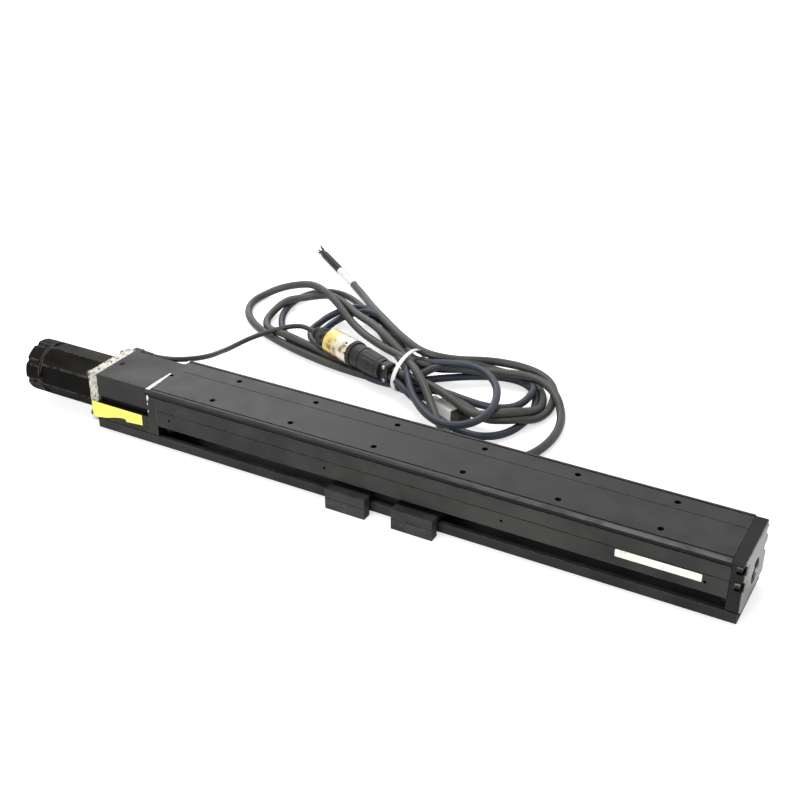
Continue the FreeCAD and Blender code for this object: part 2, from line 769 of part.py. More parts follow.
def make_motor_shaft():
    rear = X_CASE - ENCODER_OUT
    save("motor_shaft", rod(rear, X_MOTOR_HUB + HUB_LENGTH, SHAFT_RADIUS))
    save("encoder_disc", ring(rear, rear + ENCODER_DISC, ENCODER_RADIUS, SHAFT_RADIUS + SEAT))


def bearing(x0, bore, outer, width):
    """Inner ring, and outer ring with its shields, of one bearing."""
    inner = ring(x0, x0 + width, bore + RACE, bore + SEAT)
    shell = ring(x0, x0 + width, outer, bore + RACE + SHIELD_GAP)
    return inner, shell


def make_bearings():
    fixed = [bearing(X_DRIVE + BALL_WIDTH * index, BALL_BORE, BALL_OUTER, BALL_WIDTH)
             for index in range(2)]
    save("fixed_bearing_inner_rings", [pair[0] for pair in fixed])
    save("fixed_bearing_outer_rings", [pair[1] for pair in fixed])
    inner, shell = bearing(X_SUPPORT, BALL_BORE, BALL_OUTER, BALL_WIDTH)
    save("support_bearing_inner_ring", inner)
    save("support_bearing_outer_ring", shell)
    starts = (X_CASE, X_FLANGE)
    motor = [bearing(x, SHAFT_RADIUS, MOTOR_BALL_OUTER, MOTOR_BALL_WIDTH) for x in starts]
    save("motor_bearing_inner_rings", [pair[0] for pair in motor])
    save("motor_bearing_outer_rings", [pair[1] for pair in motor])


def make_bearing_cartridge():
    """Flanged sleeve that holds the fixed pair in the drive end block."""
    sleeve = rod(X_DRIVE, X_FIXED_END + CARTRIDGE_LIP, CARTRIDGE_RADIUS)
    rim = rod(X_DRIVE - CARTRIDGE_FLANGE, X_DRIVE, CARTRIDGE_RIM)
    cuts = [
        rod(X_DRIVE - CARTRIDGE_FLANGE, X_FIXED_END, BALL_OUTER + SEAT),
        rod(X_FIXED_END, X_FIXED_END + CARTRIDGE_LIP, BALL_OUTER - RACE),
    ]
    save("bearing_cartridge", less(joined([sleeve, rim]), cuts))


def make_ball_screw():
    """Screw shaft with a journal for each bearing and a tail for the coupling."""
    pieces = [
        rod(X_SCREW_HUB, X_NUT_END - LOCK_NUT / 2, SCREW_TAIL_RADIUS),
        rod(X_NUT_END - LOCK_NUT / 2, X_FIXED_END, BALL_BORE),
        rod(X_FIXED_END, X_SUPPORT, SCREW_RADIUS),
        rod(X_SUPPORT, X_PLATE, BALL_BORE),
    ]
    save("ball_screw_shaft", joined(pieces))
    save("screw_lock_nut", ring(X_NUT_END, X_DRIVE, LOCK_NUT_RADIUS, BALL_BORE + SEAT))


def sector(x0, x1, outer, inner, start, sweep):
    """Part of a ring between two angles about the screw's axis."""
    whole = Part.makeCylinder(outer, x1 - x0, vec(x0, 0, Z_SCREW), vec(1, 0, 0), sweep)
    core = Part.makeCylinder(inner, x1 - x0, vec(x0, 0, Z_SCREW), vec(1, 0, 0), sweep)
    return around_screw(whole.cut(core), start)


def make_coupling():
    """Jaw coupling: two hubs whose jaws mesh round a soft spider."""
    step = 360 / (2 * JAW_COUNT)
    jaw = step / 2
    core = SPIDER_HOLE + SPIDER_WALL
    hubs = (
        ("coupling_hub_motor", X_MOTOR_HUB, SHAFT_RADIUS, 0),
        ("coupling_hub_screw", X_SCREW_HUB, SCREW_TAIL_RADIUS, step),
    )
    for name, x0, bore, start in hubs:
        pieces = [ring(x0, x0 + HUB_LENGTH, COUPLING_RADIUS, bore + SEAT)]
        for index in range(JAW_COUNT):
            angle = start + 2 * step * index
            pieces.append(sector(X_SPIDER, X_SCREW_HUB, COUPLING_RADIUS, core, angle, jaw))
        save(name, joined(pieces))
    legs = [ring(X_SPIDER, X_SCREW_HUB, core, SPIDER_HOLE)]
    for index in range(2 * JAW_COUNT):
        start = jaw + step * index
        legs.append(sector(X_SPIDER, X_SCREW_HUB, COUPLING_RADIUS, SPIDER_HOLE, start, step - jaw))
    save("coupling_spider", joined(legs))


def nut_screw_places():
    places = []
    for side in SIDES:
        for level in SIDES:
            angle = math.radians(NUT_SCREW_ANGLE)
            y = side * NUT_SCREW_CIRCLE * math.cos(angle)
            places.append((y, Z_SCREW + level * NUT_SCREW_CIRCLE * math.sin(angle)))
    return places


def make_ball_nut():
    """Ball nut with a flange cut flat above and below, bolted to the saddle's cheeks."""
    x0 = X_CHEEK - NUT_FLANGE
    lower = Z_ARM_TOP + SLIDING
    upper = Z_PLATE - RAIL_HEIGHT - SIDE_GAP
    reach = (-2 * NUT_FLANGE_RADIUS, 2 * NUT_FLANGE_RADIUS)
    flange = rod(x0, X_CHEEK, NUT_FLANGE_RADIUS).common(block((x0, X_CHEEK), reach, (lower, upper)))
    body = rod(X_CHEEK, X_CHEEK + NUT_BODY, NUT_RADIUS)
    cuts = [rod(x0, X_CHEEK + NUT_BODY, SCREW_RADIUS + RUNNING)]
    screws = []
    for y, z in nut_screw_places():
        cuts.append(rod(x0, X_CHEEK, NUT_SCREW_RADIUS + SEAT, y, z))
        head = rod(x0 - NUT_HEAD, x0, NUT_HEAD_RADIUS, y, z)
        shank = rod(x0, x0 + NUT_SCREW_GRIP, NUT_SCREW_RADIUS, y, z)
        screws.append(joined([head, shank]))
    save("ball_nut", less(joined([flange, body]), cuts))
    save("nut_screws", screws)


def vee_half(width, top, bottom, level):
    """Right half of a rail section with a ball groove in its side."""
    half = width / 2
    return (
        (0, bottom),
        (half, bottom),
        (half, level - 2 * RAIL_VEE),
        (half - RAIL_VEE, level),
        (half, level + 2 * RAIL_VEE),
        (half, top),
        (0, top),
    )


def sideways(shape, y):
    moved = shape.copy()
    moved.translate(vec(0, y, 0))
    return moved


def make_guide_rails():
    bottom = Z_PLATE - RAIL_HEIGHT
    level = Z_PLATE - RAIL_HEIGHT / 2
    half = vee_half(RAIL_WIDTH, Z_PLATE, bottom, level)
    rail = section(half, X_BODY + RAIL_END_GAP, X_CAP - RAIL_END_GAP)
    for name, side in (("guide_rail_front", -1), ("guide_rail_back", 1)):
        cuts = []
        for x, y in rail_screw_places():
            if y * side > 0:
                cuts.append(post(x, y, bottom, Z_PLATE, RAIL_SCREW_RADIUS + SEAT))
                cuts.append(post(x, y, bottom, bottom + RAIL_HEAD, RAIL_HEAD_RADIUS + SEAT))
        save(name, less(sideways(rail, side * RAIL_Y), cuts))
    screws = []
    for x, y in rail_screw_places():
        head = post(x, y, bottom, bottom + RAIL_HEAD, RAIL_HEAD_RADIUS)
        shank = post(x, y, bottom + RAIL_HEAD, Z_PLATE + RAIL_SCREW_GRIP, RAIL_SCREW_RADIUS)
        screws.append(joined([head, shank]))
    save("rail_screws", screws)


def make_guide_blocks():
    """Four blocks that wrap the rails, each with a wiper seal on both ends."""
    level = Z_PLATE - RAIL_HEIGHT / 2
    top = Z_PLATE - BLOCK_TOP_GAP
    mouth = vee_half(RAIL_WIDTH + 2 * SLIDING, Z_PLATE, Z_PLATE - RAIL_HEIGHT - SLIDING, level)
    seals = []
    ends = (("left", X_SLIDER + BLOCK_INSET), ("right", X_SLIDER_END - BLOCK_INSET))
    for row, side in (("front", -1), ("back", 1)):
        y = side * RAIL_Y
        for end, x in ends:
            x0 = x - BLOCK_LENGTH / 2
            x1 = x + BLOCK_LENGTH / 2
            body = block((x0, x1), (y - BLOCK_WIDTH / 2, y + BLOCK_WIDTH / 2), (Z_BLOCK, top))
            save("guide_block_" + row + "_" + end, body.cut(sideways(section(mouth, x0, x1), y)))
            inset = BLOCK_WIDTH / 2 - SEAL_INSET
            for start in (x0 - SEAL, x1):
                limits = (start, start + SEAL)
                seal = block(limits, (y - inset, y + inset), (Z_BLOCK + SEAL_INSET, top))
                seals.append(seal.cut(sideways(section(mouth, limits[0], limits[1]), y)))
    save("guide_block_seals", seals)


def arm_starts():
    return (X_SLIDER, X_SLIDER_END - ARM_LENGTH)


def arm_screw_places(offset):
    """Places on each arm, the same distance either side of its middle."""
    places = []
    for start in arm_starts():
        for side in SIDES:
            for way in SIDES:
                x = start + ARM_LENGTH / 2 + way * offset
                places.append((x, side * ARM_MIDDLE))
    return places


def make_slider_saddle():
    """U-shaped saddle: floor plate, two cheeks under the guide blocks, four side arms."""
    pieces = [block((X_SLIDER, X_SLIDER_END), (-SLIDER_HALF, SLIDER_HALF),
                    (Z_PLATE_BOTTOM, Z_ARM_TOP))]
    for side in SIDES:
        limits = sorted((side * CHEEK_INNER, side * SLIDER_HALF))
        pieces.append(block((X_CHEEK, X_SLIDER_END - CHEEK_END), limits, (Z_ARM_TOP, Z_BLOCK)))
        for start in arm_starts():
            span = (start, start + ARM_LENGTH)
            limits = sorted((side * (SLIDER_HALF - WALL), side * ARM_REACH))
            pieces.append(block(span, limits, (Z_ARM, Z_ARM_TOP)))
            limits = sorted((side * ARM_STEP, side * ARM_REACH))
            pieces.append(block(span, limits, (RISER_HEIGHT, Z_ARM_TOP)))
    cuts = []
    for x, y in arm_screw_places(RISER_SCREW_OFFSET):
        seat = Z_ARM_TOP - RISER_HEAD
        cuts.append(post(x, y, RISER_HEIGHT, seat, RISER_SCREW_RADIUS + SEAT))
        cuts.append(post(x, y, seat, Z_ARM_TOP, RISER_HEAD_RADIUS + SEAT))
    grip = NUT_SCREW_GRIP - NUT_FLANGE
    for y, z in nut_screw_places():
        cuts.append(rod(X_CHEEK, X_CHEEK + grip, NUT_SCREW_RADIUS + SEAT, y, z))
    save("slider_saddle", less(joined(pieces), cuts))


def make_risers():
    """Feet under the arms; the load bolts to their lower faces."""
    names = {-1: "front", 1: "back"}
    for end, start in zip(("left", "right"), arm_starts()):
        for side in SIDES:
            limits = sorted((side * ARM_STEP, side * ARM_REACH))
            riser = block((start, start + ARM_LENGTH), limits, (0, RISER_HEIGHT))
            outer = sorted((side * (ARM_REACH - LINE_DEPTH), side * ARM_REACH))
            cuts = [block((start, start + ARM_LENGTH), outer,
                          (RISER_HEIGHT - LINE_WIDTH, RISER_HEIGHT))]
            for x, y in arm_screw_places(RISER_SCREW_OFFSET):
                cuts.append(post(x, y, RISER_HEIGHT - RISER_SCREW_GRIP, RISER_HEIGHT,
                                 RISER_SCREW_RADIUS + SEAT))
            for x, y in arm_screw_places(LOAD_HOLE_OFFSET):
                cuts.append(post(x, y, 0, LOAD_HOLE_DEPTH, LOAD_HOLE_RADIUS))
            save("riser_" + names[side] + "_" + end, less(riser, cuts))
    screws = []
    for x, y in arm_screw_places(RISER_SCREW_OFFSET):
        seat = Z_ARM_TOP - RISER_HEAD
        head = post(x, y, seat, Z_ARM_TOP, RISER_HEAD_RADIUS)
        shank = post(x, y, RISER_HEIGHT - RISER_SCREW_GRIP, seat, RISER_SCREW_RADIUS)
        screws.append(joined([head, shank]))
    save("riser_screws", screws)


def make_bumpers():
    """Rubber stops on the two end pieces, in line with the saddle's floor."""
    z = (Z_PLATE_BOTTOM + Z_ARM_TOP) / 2
    stops = []
    for side in SIDES:
        stops.append(rod(X_BODY, X_BODY + BUMPER, BUMPER_RADIUS, side * BUMPER_Y, z))
        stops.append(rod(X_CAP - BUMPER, X_CAP, BUMPER_RADIUS, side * BUMPER_Y, z))
    save("travel_bumpers", stops)


def make_lead_boot():
    """Moulded boot on the back of the motor flange, nose pointing along the module."""
    x0 = X_FLANGE + BOOT_START
    x1 = x0 + BOOT_LENGTH
    z = Z_HOOD - BOOT_DROP
    base = block((x0, x1), (HOOD_HALF, HOOD_HALF + BOOT_DEPTH),
                 (z - BOOT_HALF_HEIGHT, z + BOOT_HALF_HEIGHT))
    base = rounded(base, BOOT_ROUND, lambda p: near(p.y, HOOD_HALF + BOOT_DEPTH) or near(p.x, x0))
    nose = Part.makeCone(BOOT_NOSE_RADIUS, BOOT_NOSE_TIP, BOOT_NOSE,
                         vec(x1, HOOD_HALF + BOOT_NOSE_OUT, z), vec(1, 0, 0))
    save("lead_boot", joined([base, nose]))


def cord(route, radius, label):
    """Tube along straight runs joined by the largest arcs that the runs allow."""
    points = [vec(*point) for point in route]
    edges = []
    start = points[0]
    radii = []
    for before, corner, after in zip(points, points[1:], points[2:]):
        back = before - corner
        ahead = after - corner
        trim = 0.45 * min(back.Length, ahead.Length)
        half_turn = (math.pi - back.getAngle(ahead)) / 2
        radii.append(trim / math.tan(half_turn))
        back.normalize()
        ahead.normalize()
        first = corner + back * trim
        last = corner + ahead * trim
        bisector = back + ahead
        bisector.normalize()
        centre = corner + bisector * (radii[-1] / math.cos(half_turn))
        middle = centre - bisector * radii[-1]
        edges.append(Part.LineSegment(start, first).toShape())
        edges.append(Part.Arc(first, middle, last).toShape())
        start = last
    edges.append(Part.LineSegment(start, points[-1]).toShape())
    path = Part.Wire(edges)
    heading = points[1] - points[0]
    circle = Part.Wire([Part.makeCircle(radius, points[0], heading)])
    tube = path.makePipeShell([circle], True, False)
    expected = math.pi * radius ** 2 * path.Length
    print(label, "length", round(path.Length, 1), "smallest radius", round(min(radii), 1),
          "radii", [round(value) for value in radii],
          "volume ratio", round(tube.Volume / expected, 4))
    return tube


def make_motor_lead():
    save("motor_lead", cord(LEAD_ROUTE, LEAD_RADIUS, "motor lead"))


def along_connector(shape):
    """Place a shape made along X from the origin onto the connector's axis."""
    placed = shape.copy()
    placed.rotate(vec(0, 0, 0), vec(0, 0, 1), CONNECTOR_TURN)
    placed.translate(vec(*CONNECTOR_START))
    return placed


def make_connector():
    """Lead's receptacle, turning gold ring, and the plug's back shell with its clamp."""
    inside = RING_RADIUS - RING_WALL - SLIDING
    half = RING_LENGTH / 2
    barrel = rod(-RECEPTACLE_LENGTH, 0, RECEPTACLE_RADIUS, 0, 0)
    nose = Part.makeCone(RECEPTACLE_TIP_RADIUS, RECEPTACLE_RADIUS - RECEPTACLE_STEP, RECEPTACLE_NOSE,
                         vec(-RECEPTACLE_LENGTH - RECEPTACLE_NOSE, 0, 0), vec(1, 0, 0))
    spigot = rod(0, half, inside, 0, 0)
    save("lead_receptacle", along_connector(joined([barrel, nose, spigot])))
    sleeve = ring(SLIDING, RING_LENGTH, RING_RADIUS, RING_RADIUS - RING_WALL, 0, 0)
    save("connector_ring", along_connector(sleeve))
    plug = rod(half, RING_LENGTH + SLIDING, inside, 0, 0)
    shell_end = RING_LENGTH + SLIDING + SHELL_LENGTH
    shell = Part.makeCone(SHELL_RADIUS, SHELL_TIP_RADIUS, SHELL_LENGTH,
                          vec(RING_LENGTH + SLIDING, 0, 0), vec(1, 0, 0))
    save("plug_back_shell", along_connector(joined([plug, shell])))
    saddle = block((shell_end, shell_end + CLAMP_LENGTH), (-CLAMP_WIDTH_HALF, CLAMP_WIDTH_HALF),
                   (-CLAMP_HALF, CLAMP_HALF))
    saddle = rounded(saddle, CLAMP_ROUND, lambda p: near(abs(p.z), CLAMP_HALF))
    save("plug_cable_clamp", along_connector(saddle))
    return shell_end + CLAMP_LENGTH


def along_plug(shape):
    """Place a shape made along X from the origin where the white plug lies."""
    placed = shape.copy()
    placed.rotate(vec(0, 0, 0), vec(0, 0, 1), PLUG_TURN)
    placed.translate(vec(*PLUG_START))
    return placed


def oval(lobe, height):
    """Upright solid on an ellipse lying on the surface: centre, half axes, turn."""
    x, y, major, minor, turn = lobe
    edge = Part.Ellipse(vec(0, 0, 0), major, minor).toShape()
    solid = Part.Face(Part.Wire([edge])).extrude(vec(0, 0, height))
    solid.rotate(vec(0, 0, 0), vec(0, 0, 1), turn)
    solid.translate(vec(x, y, 0))
    return solid


def oval_bar(x0, x1, half_width, half_height, y, z):
    """Bar of oval section along X."""
    edge = Part.Ellipse(vec(0, 0, 0), half_width, half_height).toShape()
    bar = Part.Face(Part.Wire([edge])).extrude(vec(0, 0, x1 - x0))
    bar.rotate(vec(0, 0, 0), vec(0, 0, 1), 90)
    bar.rotate(vec(0, 0, 0), vec(0, 1, 0), 90)
    bar.translate(vec(x0, y, z))
    return bar


def make_hank(clamp_end):
    """Both cables' loops as one open bow, pinched where the tie holds them."""
    left = joined([oval(LEFT_LOBE, LEFT_LOBE_HEIGHT), oval(FRONT_LOBE, LEFT_LOBE_HEIGHT)])
    left = left.cut(oval(LEFT_OPENING, LEFT_LOBE_HEIGHT))
    right = oval(RIGHT_LOBE, RIGHT_LOBE_HEIGHT).cut(oval(RIGHT_OPENING, RIGHT_LOBE_HEIGHT))
    tie_x, tie_y, tie_z = TIE_CENTRE
    x0 = tie_x - TIE_BAND / 2
    x1 = tie_x + TIE_BAND / 2
    pinch = oval_bar(x0, x0 + PINCH_LENGTH, TIE_HALF_WIDTH, TIE_HALF_HEIGHT, tie_y, tie_z)
    neck = oval_bar(x0 - NECK_LENGTH, x0, NECK_HALF_WIDTH, NECK_HALF_HEIGHT, *NECK_CENTRE)
    leader = along_connector(rod(clamp_end, clamp_end + LEADER_LENGTH, CABLE_RADIUS, 0, 0))
    plug_lead = along_plug(rod(-PLUG_LEAD, 0, SIGNAL_RADIUS, 0, PLUG_NECK_HALF))
    band = oval_bar(x0, x1, TIE_HALF_WIDTH, TIE_HALF_HEIGHT, tie_y, tie_z)
    inside = oval_bar(x0, x1, TIE_HALF_WIDTH - TIE_THICKNESS, TIE_HALF_HEIGHT - TIE_THICKNESS,
                      tie_y, tie_z)
    tie = band.cut(inside)
    save("cable_hank", joined([left, right, pinch, neck, leader, plug_lead]).cut(tie))
    save("cable_tie", tie)


def make_tail():
    """Loose end of the power cable with a white marker sleeve and a shrunk end."""
    save("power_cable_tail", cord(TAIL_ROUTE, CABLE_RADIUS, "power cable tail"))
    end = vec(*TAIL_ROUTE[-1])
    heading = end - vec(*TAIL_ROUTE[-2])
    heading.normalize()
    start = end - heading * SLEEVE_LENGTH
    outer = Part.makeCylinder(CABLE_RADIUS + SLEEVE_WALL, SLEEVE_LENGTH, start, heading)
    inner = Part.makeCylinder(CABLE_RADIUS + SEAT, SLEEVE_LENGTH, start, heading)
    save("tail_marker_sleeve", outer.cut(inner))
    shrunk = Part.makeCylinder(SHRINK_RADIUS, SHRINK_LENGTH - SHRINK_TIP, end, heading)
    tip = Part.makeCone(SHRINK_RADIUS, SHRINK_TIP_RADIUS, SHRINK_TIP,
                        end + heading * (SHRINK_LENGTH - SHRINK_TIP), heading)
    save("tail_heat_shrink", joined([shrunk, tip]))


def make_signal_plug():
    """White plug on the signal cable: narrow neck, then a wide hood."""
    neck = block((0, PLUG_NECK), (-PLUG_NECK_HALF, PLUG_NECK_HALF),
                 (0, 2 * PLUG_NECK_HALF))
    hood = block((PLUG_NECK, PLUG_LENGTH), (-PLUG_HALF_WIDTH, PLUG_HALF_WIDTH), (0, PLUG_HEIGHT))
    hood = rounded(hood, PLUG_ROUND, lambda p: near(abs(p.y), PLUG_HALF_WIDTH) and p.z > PLUG_ROUND)
    save("signal_plug", along_plug(joined([neck, hood])))


make_base_channel()
make_drive_end_block()
make_end_cap()
make_end_plate()
make_end_cap_screws()
make_bottom_cover()
make_cover_screws()
make_coupling_cradle()
make_coupling_hood()
make_motor_adapter()
make_motor_flange()
make_motor_case()
make_motor_rear_cap()
make_motor_shaft()
make_bearings()
make_bearing_cartridge()
make_ball_screw()
make_coupling()
make_ball_nut()
make_guide_rails()
make_guide_blocks()
make_slider_saddle()
make_risers()
make_bumpers()
make_lead_boot()
make_motor_lead()
make_hank(make_connector())
make_tail()
make_signal_plug()

for name, shape in parts.items():
    for solid in solids_of(shape):
        if not solid.isValid() or solid.Volume <= 0:
            print("check", name)
    shape.exportStep("parts/" + name + ".step")
print(len(parts), "nodes")
print("slider travel", round(BUMPER + SIDE_GAP - SLIDER_REST, 1),
      round(BODY_LENGTH - SLIDER_REST - SLIDER_LENGTH - BUMPER - SIDE_GAP, 1),
      "screw turns per millimetre", 1 / SCREW_LEAD)
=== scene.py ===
# %% [markdown]
# # A ball screw linear module, dressed for its photograph
# The module comes in as a finished CAD frame: every solid is already in its place, in metres, on the body
# that moves it. This lesson never moves those solids. It adds what CAD leaves out: the light, the finishes,
# the loose cables and the small trim.

# %% Load the frame
import bpy
import bmesh
import random
from math import cos, degrees, pi, radians, sin
from mathutils import Matrix, Vector


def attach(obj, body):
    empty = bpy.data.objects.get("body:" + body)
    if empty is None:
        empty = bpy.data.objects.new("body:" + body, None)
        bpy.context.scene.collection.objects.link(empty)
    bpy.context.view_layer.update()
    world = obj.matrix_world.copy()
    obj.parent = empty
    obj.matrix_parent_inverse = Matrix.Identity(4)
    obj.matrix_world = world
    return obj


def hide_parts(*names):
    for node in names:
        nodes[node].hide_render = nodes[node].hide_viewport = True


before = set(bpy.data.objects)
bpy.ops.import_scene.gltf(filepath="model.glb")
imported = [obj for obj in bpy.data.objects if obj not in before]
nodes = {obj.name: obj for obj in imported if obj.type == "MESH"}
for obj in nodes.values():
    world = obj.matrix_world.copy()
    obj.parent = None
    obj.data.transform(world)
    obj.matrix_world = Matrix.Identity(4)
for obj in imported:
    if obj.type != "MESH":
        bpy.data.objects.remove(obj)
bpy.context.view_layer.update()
MM = 0.001
scene = bpy.context.scene
scene.view_settings.view_transform = "Standard"


def add_object(name, data):
    made = bpy.data.objects.new(name, data)
    scene.collection.objects.link(made)
    return made


# %% [markdown]
# ## The camera
# A camera can be pushed around until the picture looks right, or worked out from the photograph. Here the
# tapped holes gave its place, so it is written down as a place, three angles and a focal length. The three
# axes of the camera are built from the angles and become the columns of its matrix.

# %% Camera at the photograph's angle
CAMERA_PLACE = Vector((0.5863, -0.9640, 0.7172))
CAMERA_TURN = radians(28.7086)
CAMERA_TILT = radians(28.6056)
CAMERA_ROLL = radians(0.1757)
SENSOR_WIDTH = 36.0
FOCAL_LENGTH = 56.31
NEAREST_SEEN = 0.01

flat_share = cos(CAMERA_TILT)
backwards = Vector((sin(CAMERA_TURN) * flat_share, -cos(CAMERA_TURN) * flat_share, sin(CAMERA_TILT)))
sideways = Vector((0, 0, 1)).cross(backwards).normalized()
upwards = backwards.cross(sideways)
rolled_side = cos(CAMERA_ROLL) * sideways + sin(CAMERA_ROLL) * upwards
rolled_up = cos(CAMERA_ROLL) * upwards - sin(CAMERA_ROLL) * sideways
axes = Matrix((rolled_side, rolled_up, backwards)).transposed()
camera = add_object("camera", bpy.data.cameras.new("camera"))
camera.data.sensor_width = SENSOR_WIDTH
camera.data.lens = FOCAL_LENGTH
camera.data.clip_start = NEAREST_SEEN
camera.matrix_world = Matrix.Translation(CAMERA_PLACE) @ axes.to_4x4()
scene.camera = camera
print("camera", round(degrees(CAMERA_TURN), 1), "degrees round,", round(degrees(CAMERA_TILT), 1), "above")

# %% [markdown]
# ## Floor and light
# The photograph is a black object on blown-out white paper. Black paint shows mostly what it mirrors, so
# the white surroundings matter more than the lamps. The world is white where the camera or a mirror sees
# it and weaker as a light, and the pale floor glows a little for the camera only, which keeps its shadow.

# %% White world
WORLD_LIGHT = 0.62


def link(tree, source, target):
    tree.links.new(source, target)


def node(tree, kind, **values):
    made = tree.nodes.new("ShaderNode" + kind)
    for name, value in values.items():
        setattr(made, name, value)
    return made


def feed(tree, socket, value):
    if isinstance(value, bpy.types.NodeSocket):
        link(tree, value, socket)
    else:
        socket.default_value = value


def reckon(tree, operation, first, second=0.0):
    made = node(tree, "Math", operation=operation)
    feed(tree, made.inputs[0], first)
    feed(tree, made.inputs[1], second)
    return made.outputs[0]


world = bpy.data.worlds.new("white studio")
scene.world = world
world.use_nodes = True
tree = world.node_tree
tree.nodes.clear()
seen = node(tree, "LightPath")
either = reckon(tree, "MAXIMUM", seen.outputs["Is Camera Ray"], seen.outputs["Is Glossy Ray"])
any_view = reckon(tree, "MAXIMUM", either, seen.outputs["Is Transmission Ray"])
lamp_like = node(tree, "Background")
lamp_like.inputs["Strength"].default_value = WORLD_LIGHT
paper_like = node(tree, "Background")
paper_like.inputs["Color"].default_value = (1, 1, 1, 1)
choose = node(tree, "MixShader")
for socket, source in zip(choose.inputs, (any_view, lamp_like.outputs[0], paper_like.outputs[0])):
    link(tree, source, socket)
world_out = node(tree, "OutputWorld")
link(tree, choose.outputs[0], world_out.inputs[0])
print("world nodes:", len(tree.nodes))

# %% Pale floor
FLOOR_HALF = 6.0
FLOOR_LEVEL = -0.0006
PAPER_TONE = 0.86
PAPER_GLOW = 0.54
floor_mesh = bpy.data.meshes.new("paper floor")
corners = ((-1, -1), (1, -1), (1, 1), (-1, 1))
places = [(x * FLOOR_HALF, y * FLOOR_HALF, FLOOR_LEVEL) for x, y in corners]
floor_mesh.from_pydata(places, [], [(0, 1, 2, 3)])
floor = add_object("paper_floor", floor_mesh)

paper = bpy.data.materials.new("white paper")
paper.use_nodes = True
tree = paper.node_tree
tree.nodes.clear()
matt = node(tree, "BsdfDiffuse")
matt.inputs["Color"].default_value = (PAPER_TONE, PAPER_TONE, PAPER_TONE, 1)
glow = node(tree, "Emission")
seen = node(tree, "LightPath")
glow_amount = reckon(tree, "MULTIPLY", seen.outputs["Is Camera Ray"], PAPER_GLOW)
link(tree, glow_amount, glow.inputs["Strength"])
both = node(tree, "AddShader")
link(tree, matt.outputs[0], both.inputs[0])
link(tree, glow.outputs[0], both.inputs[1])
paper_out = node(tree, "OutputMaterial")
link(tree, both.outputs[0], paper_out.inputs[0])
floor_mesh.materials.append(paper)
print("floor", 2 * FLOOR_HALF, "m square")


# %% Soft lamps
def soft_lamp(name, place, target, size, watts):
    lamp = bpy.data.lights.new(name, "AREA")
    lamp.shape = "RECTANGLE"
    lamp.size, lamp.size_y = size
    lamp.energy = watts
    made = add_object(name, lamp)
    made.location = place
    made.rotation_euler = (Vector(place) - Vector(target)).to_track_quat("Z", "Y").to_euler()
    made.visible_camera = False


soft_lamp("lamp above", place=(-0.6, 0.5, 1.9), target=(0, 0.1, 0), size=(1.6, 1.2), watts=22)
soft_lamp("lamp front", place=(0.1, -1.9, 1.1), target=(0, 0, 0.02), size=(1.8, 0.9), watts=34)
soft_lamp("lamp behind", place=(-1.45, 1.5, 1.1), target=(-0.2, 0, 0.07), size=(1.1, 1.1), watts=6)

# %% [markdown]
# ## The motor's own lead
# A cord is a curve with a round bevel. Its control points are the ones the CAD tube was bent through, and
# the spline rounds them by itself: order 3 with ends that reach the first and last point. Both settings
# come after the points, because Blender lowers the order of a spline that is still too short. The bevel is
# one metre and each point's radius shrinks it to the cord, so that the curve's box comes out right.

# %% Motor lead
UNIT_BEVEL = 1.0


def cord_curve(name, points, radius):
    curve = bpy.data.curves.new(name, "CURVE")
    curve.dimensions = "3D"
    curve.bevel_depth = UNIT_BEVEL
    curve.bevel_resolution = 6
    curve.resolution_u = 10
    curve.use_fill_caps = True
    spline = curve.splines.new("NURBS")
    spline.points.add(len(points) - 1)
    for place, (x, y, z) in zip(spline.points, points):
        place.co = (x * MM, y * MM, z * MM, 1)
        place.radius = radius * MM
    spline.order_u = 3
    spline.use_endpoint_u = True
    return add_object(name, curve)


def length_along(curve):
    bare = curve.copy()
    bare.data = curve.data.copy()
    bare.data.bevel_depth = 0
    line = bpy.data.meshes.new_from_object(bare)
    places = [v.co for v in line.vertices]
    bpy.data.objects.remove(bare)
    return sum((b - a).length for a, b in zip(places, places[1:]))


LEAD_RADIUS = 3.2
LEAD_ROUTE = [
    (-296, 44.5, 61), (-281, 45.5, 61), (-266, 54.5, 59.5), (-257, 70, 56), (-256, 92, 49),
    (-262, 117, 40), (-271, 143, 30.5), (-279, 168, 21.5), (-285, 194, 15), (-283, 220, 13.5),
    (-270, 243, 16), (-250, 257, 22), (-229, 257.5, 28), (-212.5, 250.2, 31), (-197.5, 244.6, 31),
]
motor_lead = cord_curve("motor_lead_cord", LEAD_ROUTE, LEAD_RADIUS)
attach(motor_lead, "base")
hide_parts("motor_lead")
print("motor lead", round(length_along(motor_lead), 3), "m")

# %% [markdown]
# ## Two looped cables in one tie
# The grey power cable and the thinner blue-grey signal cable run to and fro through one white tie. Thirteen
# strands could be drawn point by point. Instead every loop is a leaf shape between two places in the tie,
# and its numbers began as a fit to strands traced on the photograph. The loops are laid one after another,
# and a new one is lifted over those it crosses. Under the connector they are kept low, so strands still
# meet there. Where a leaf strays from the photograph, its points are listed one by one or taken out.

# %% Places in the tie, and the loops
POWER_RADIUS = 5.0
SIGNAL_RADIUS = 4.5
TIE_X = -52.0
# Across and up, in mm, where each strand passes the tie.
IN_TIE = {
    "power_1": (195.5, 34.5), "power_2": (213, 7.5), "power_3": (221, 38.5), "power_4": (232, 27),
    "power_5": (205, 24), "power_6": (243, 36),
    "signal_1": (188.5, 26.5), "signal_2": (224, 7.5), "signal_3": (211, 37.5), "signal_4": (241, 27),
    "signal_5": (194.5, 15.5), "signal_6": (246, 14), "signal_7": (203, 7),
}
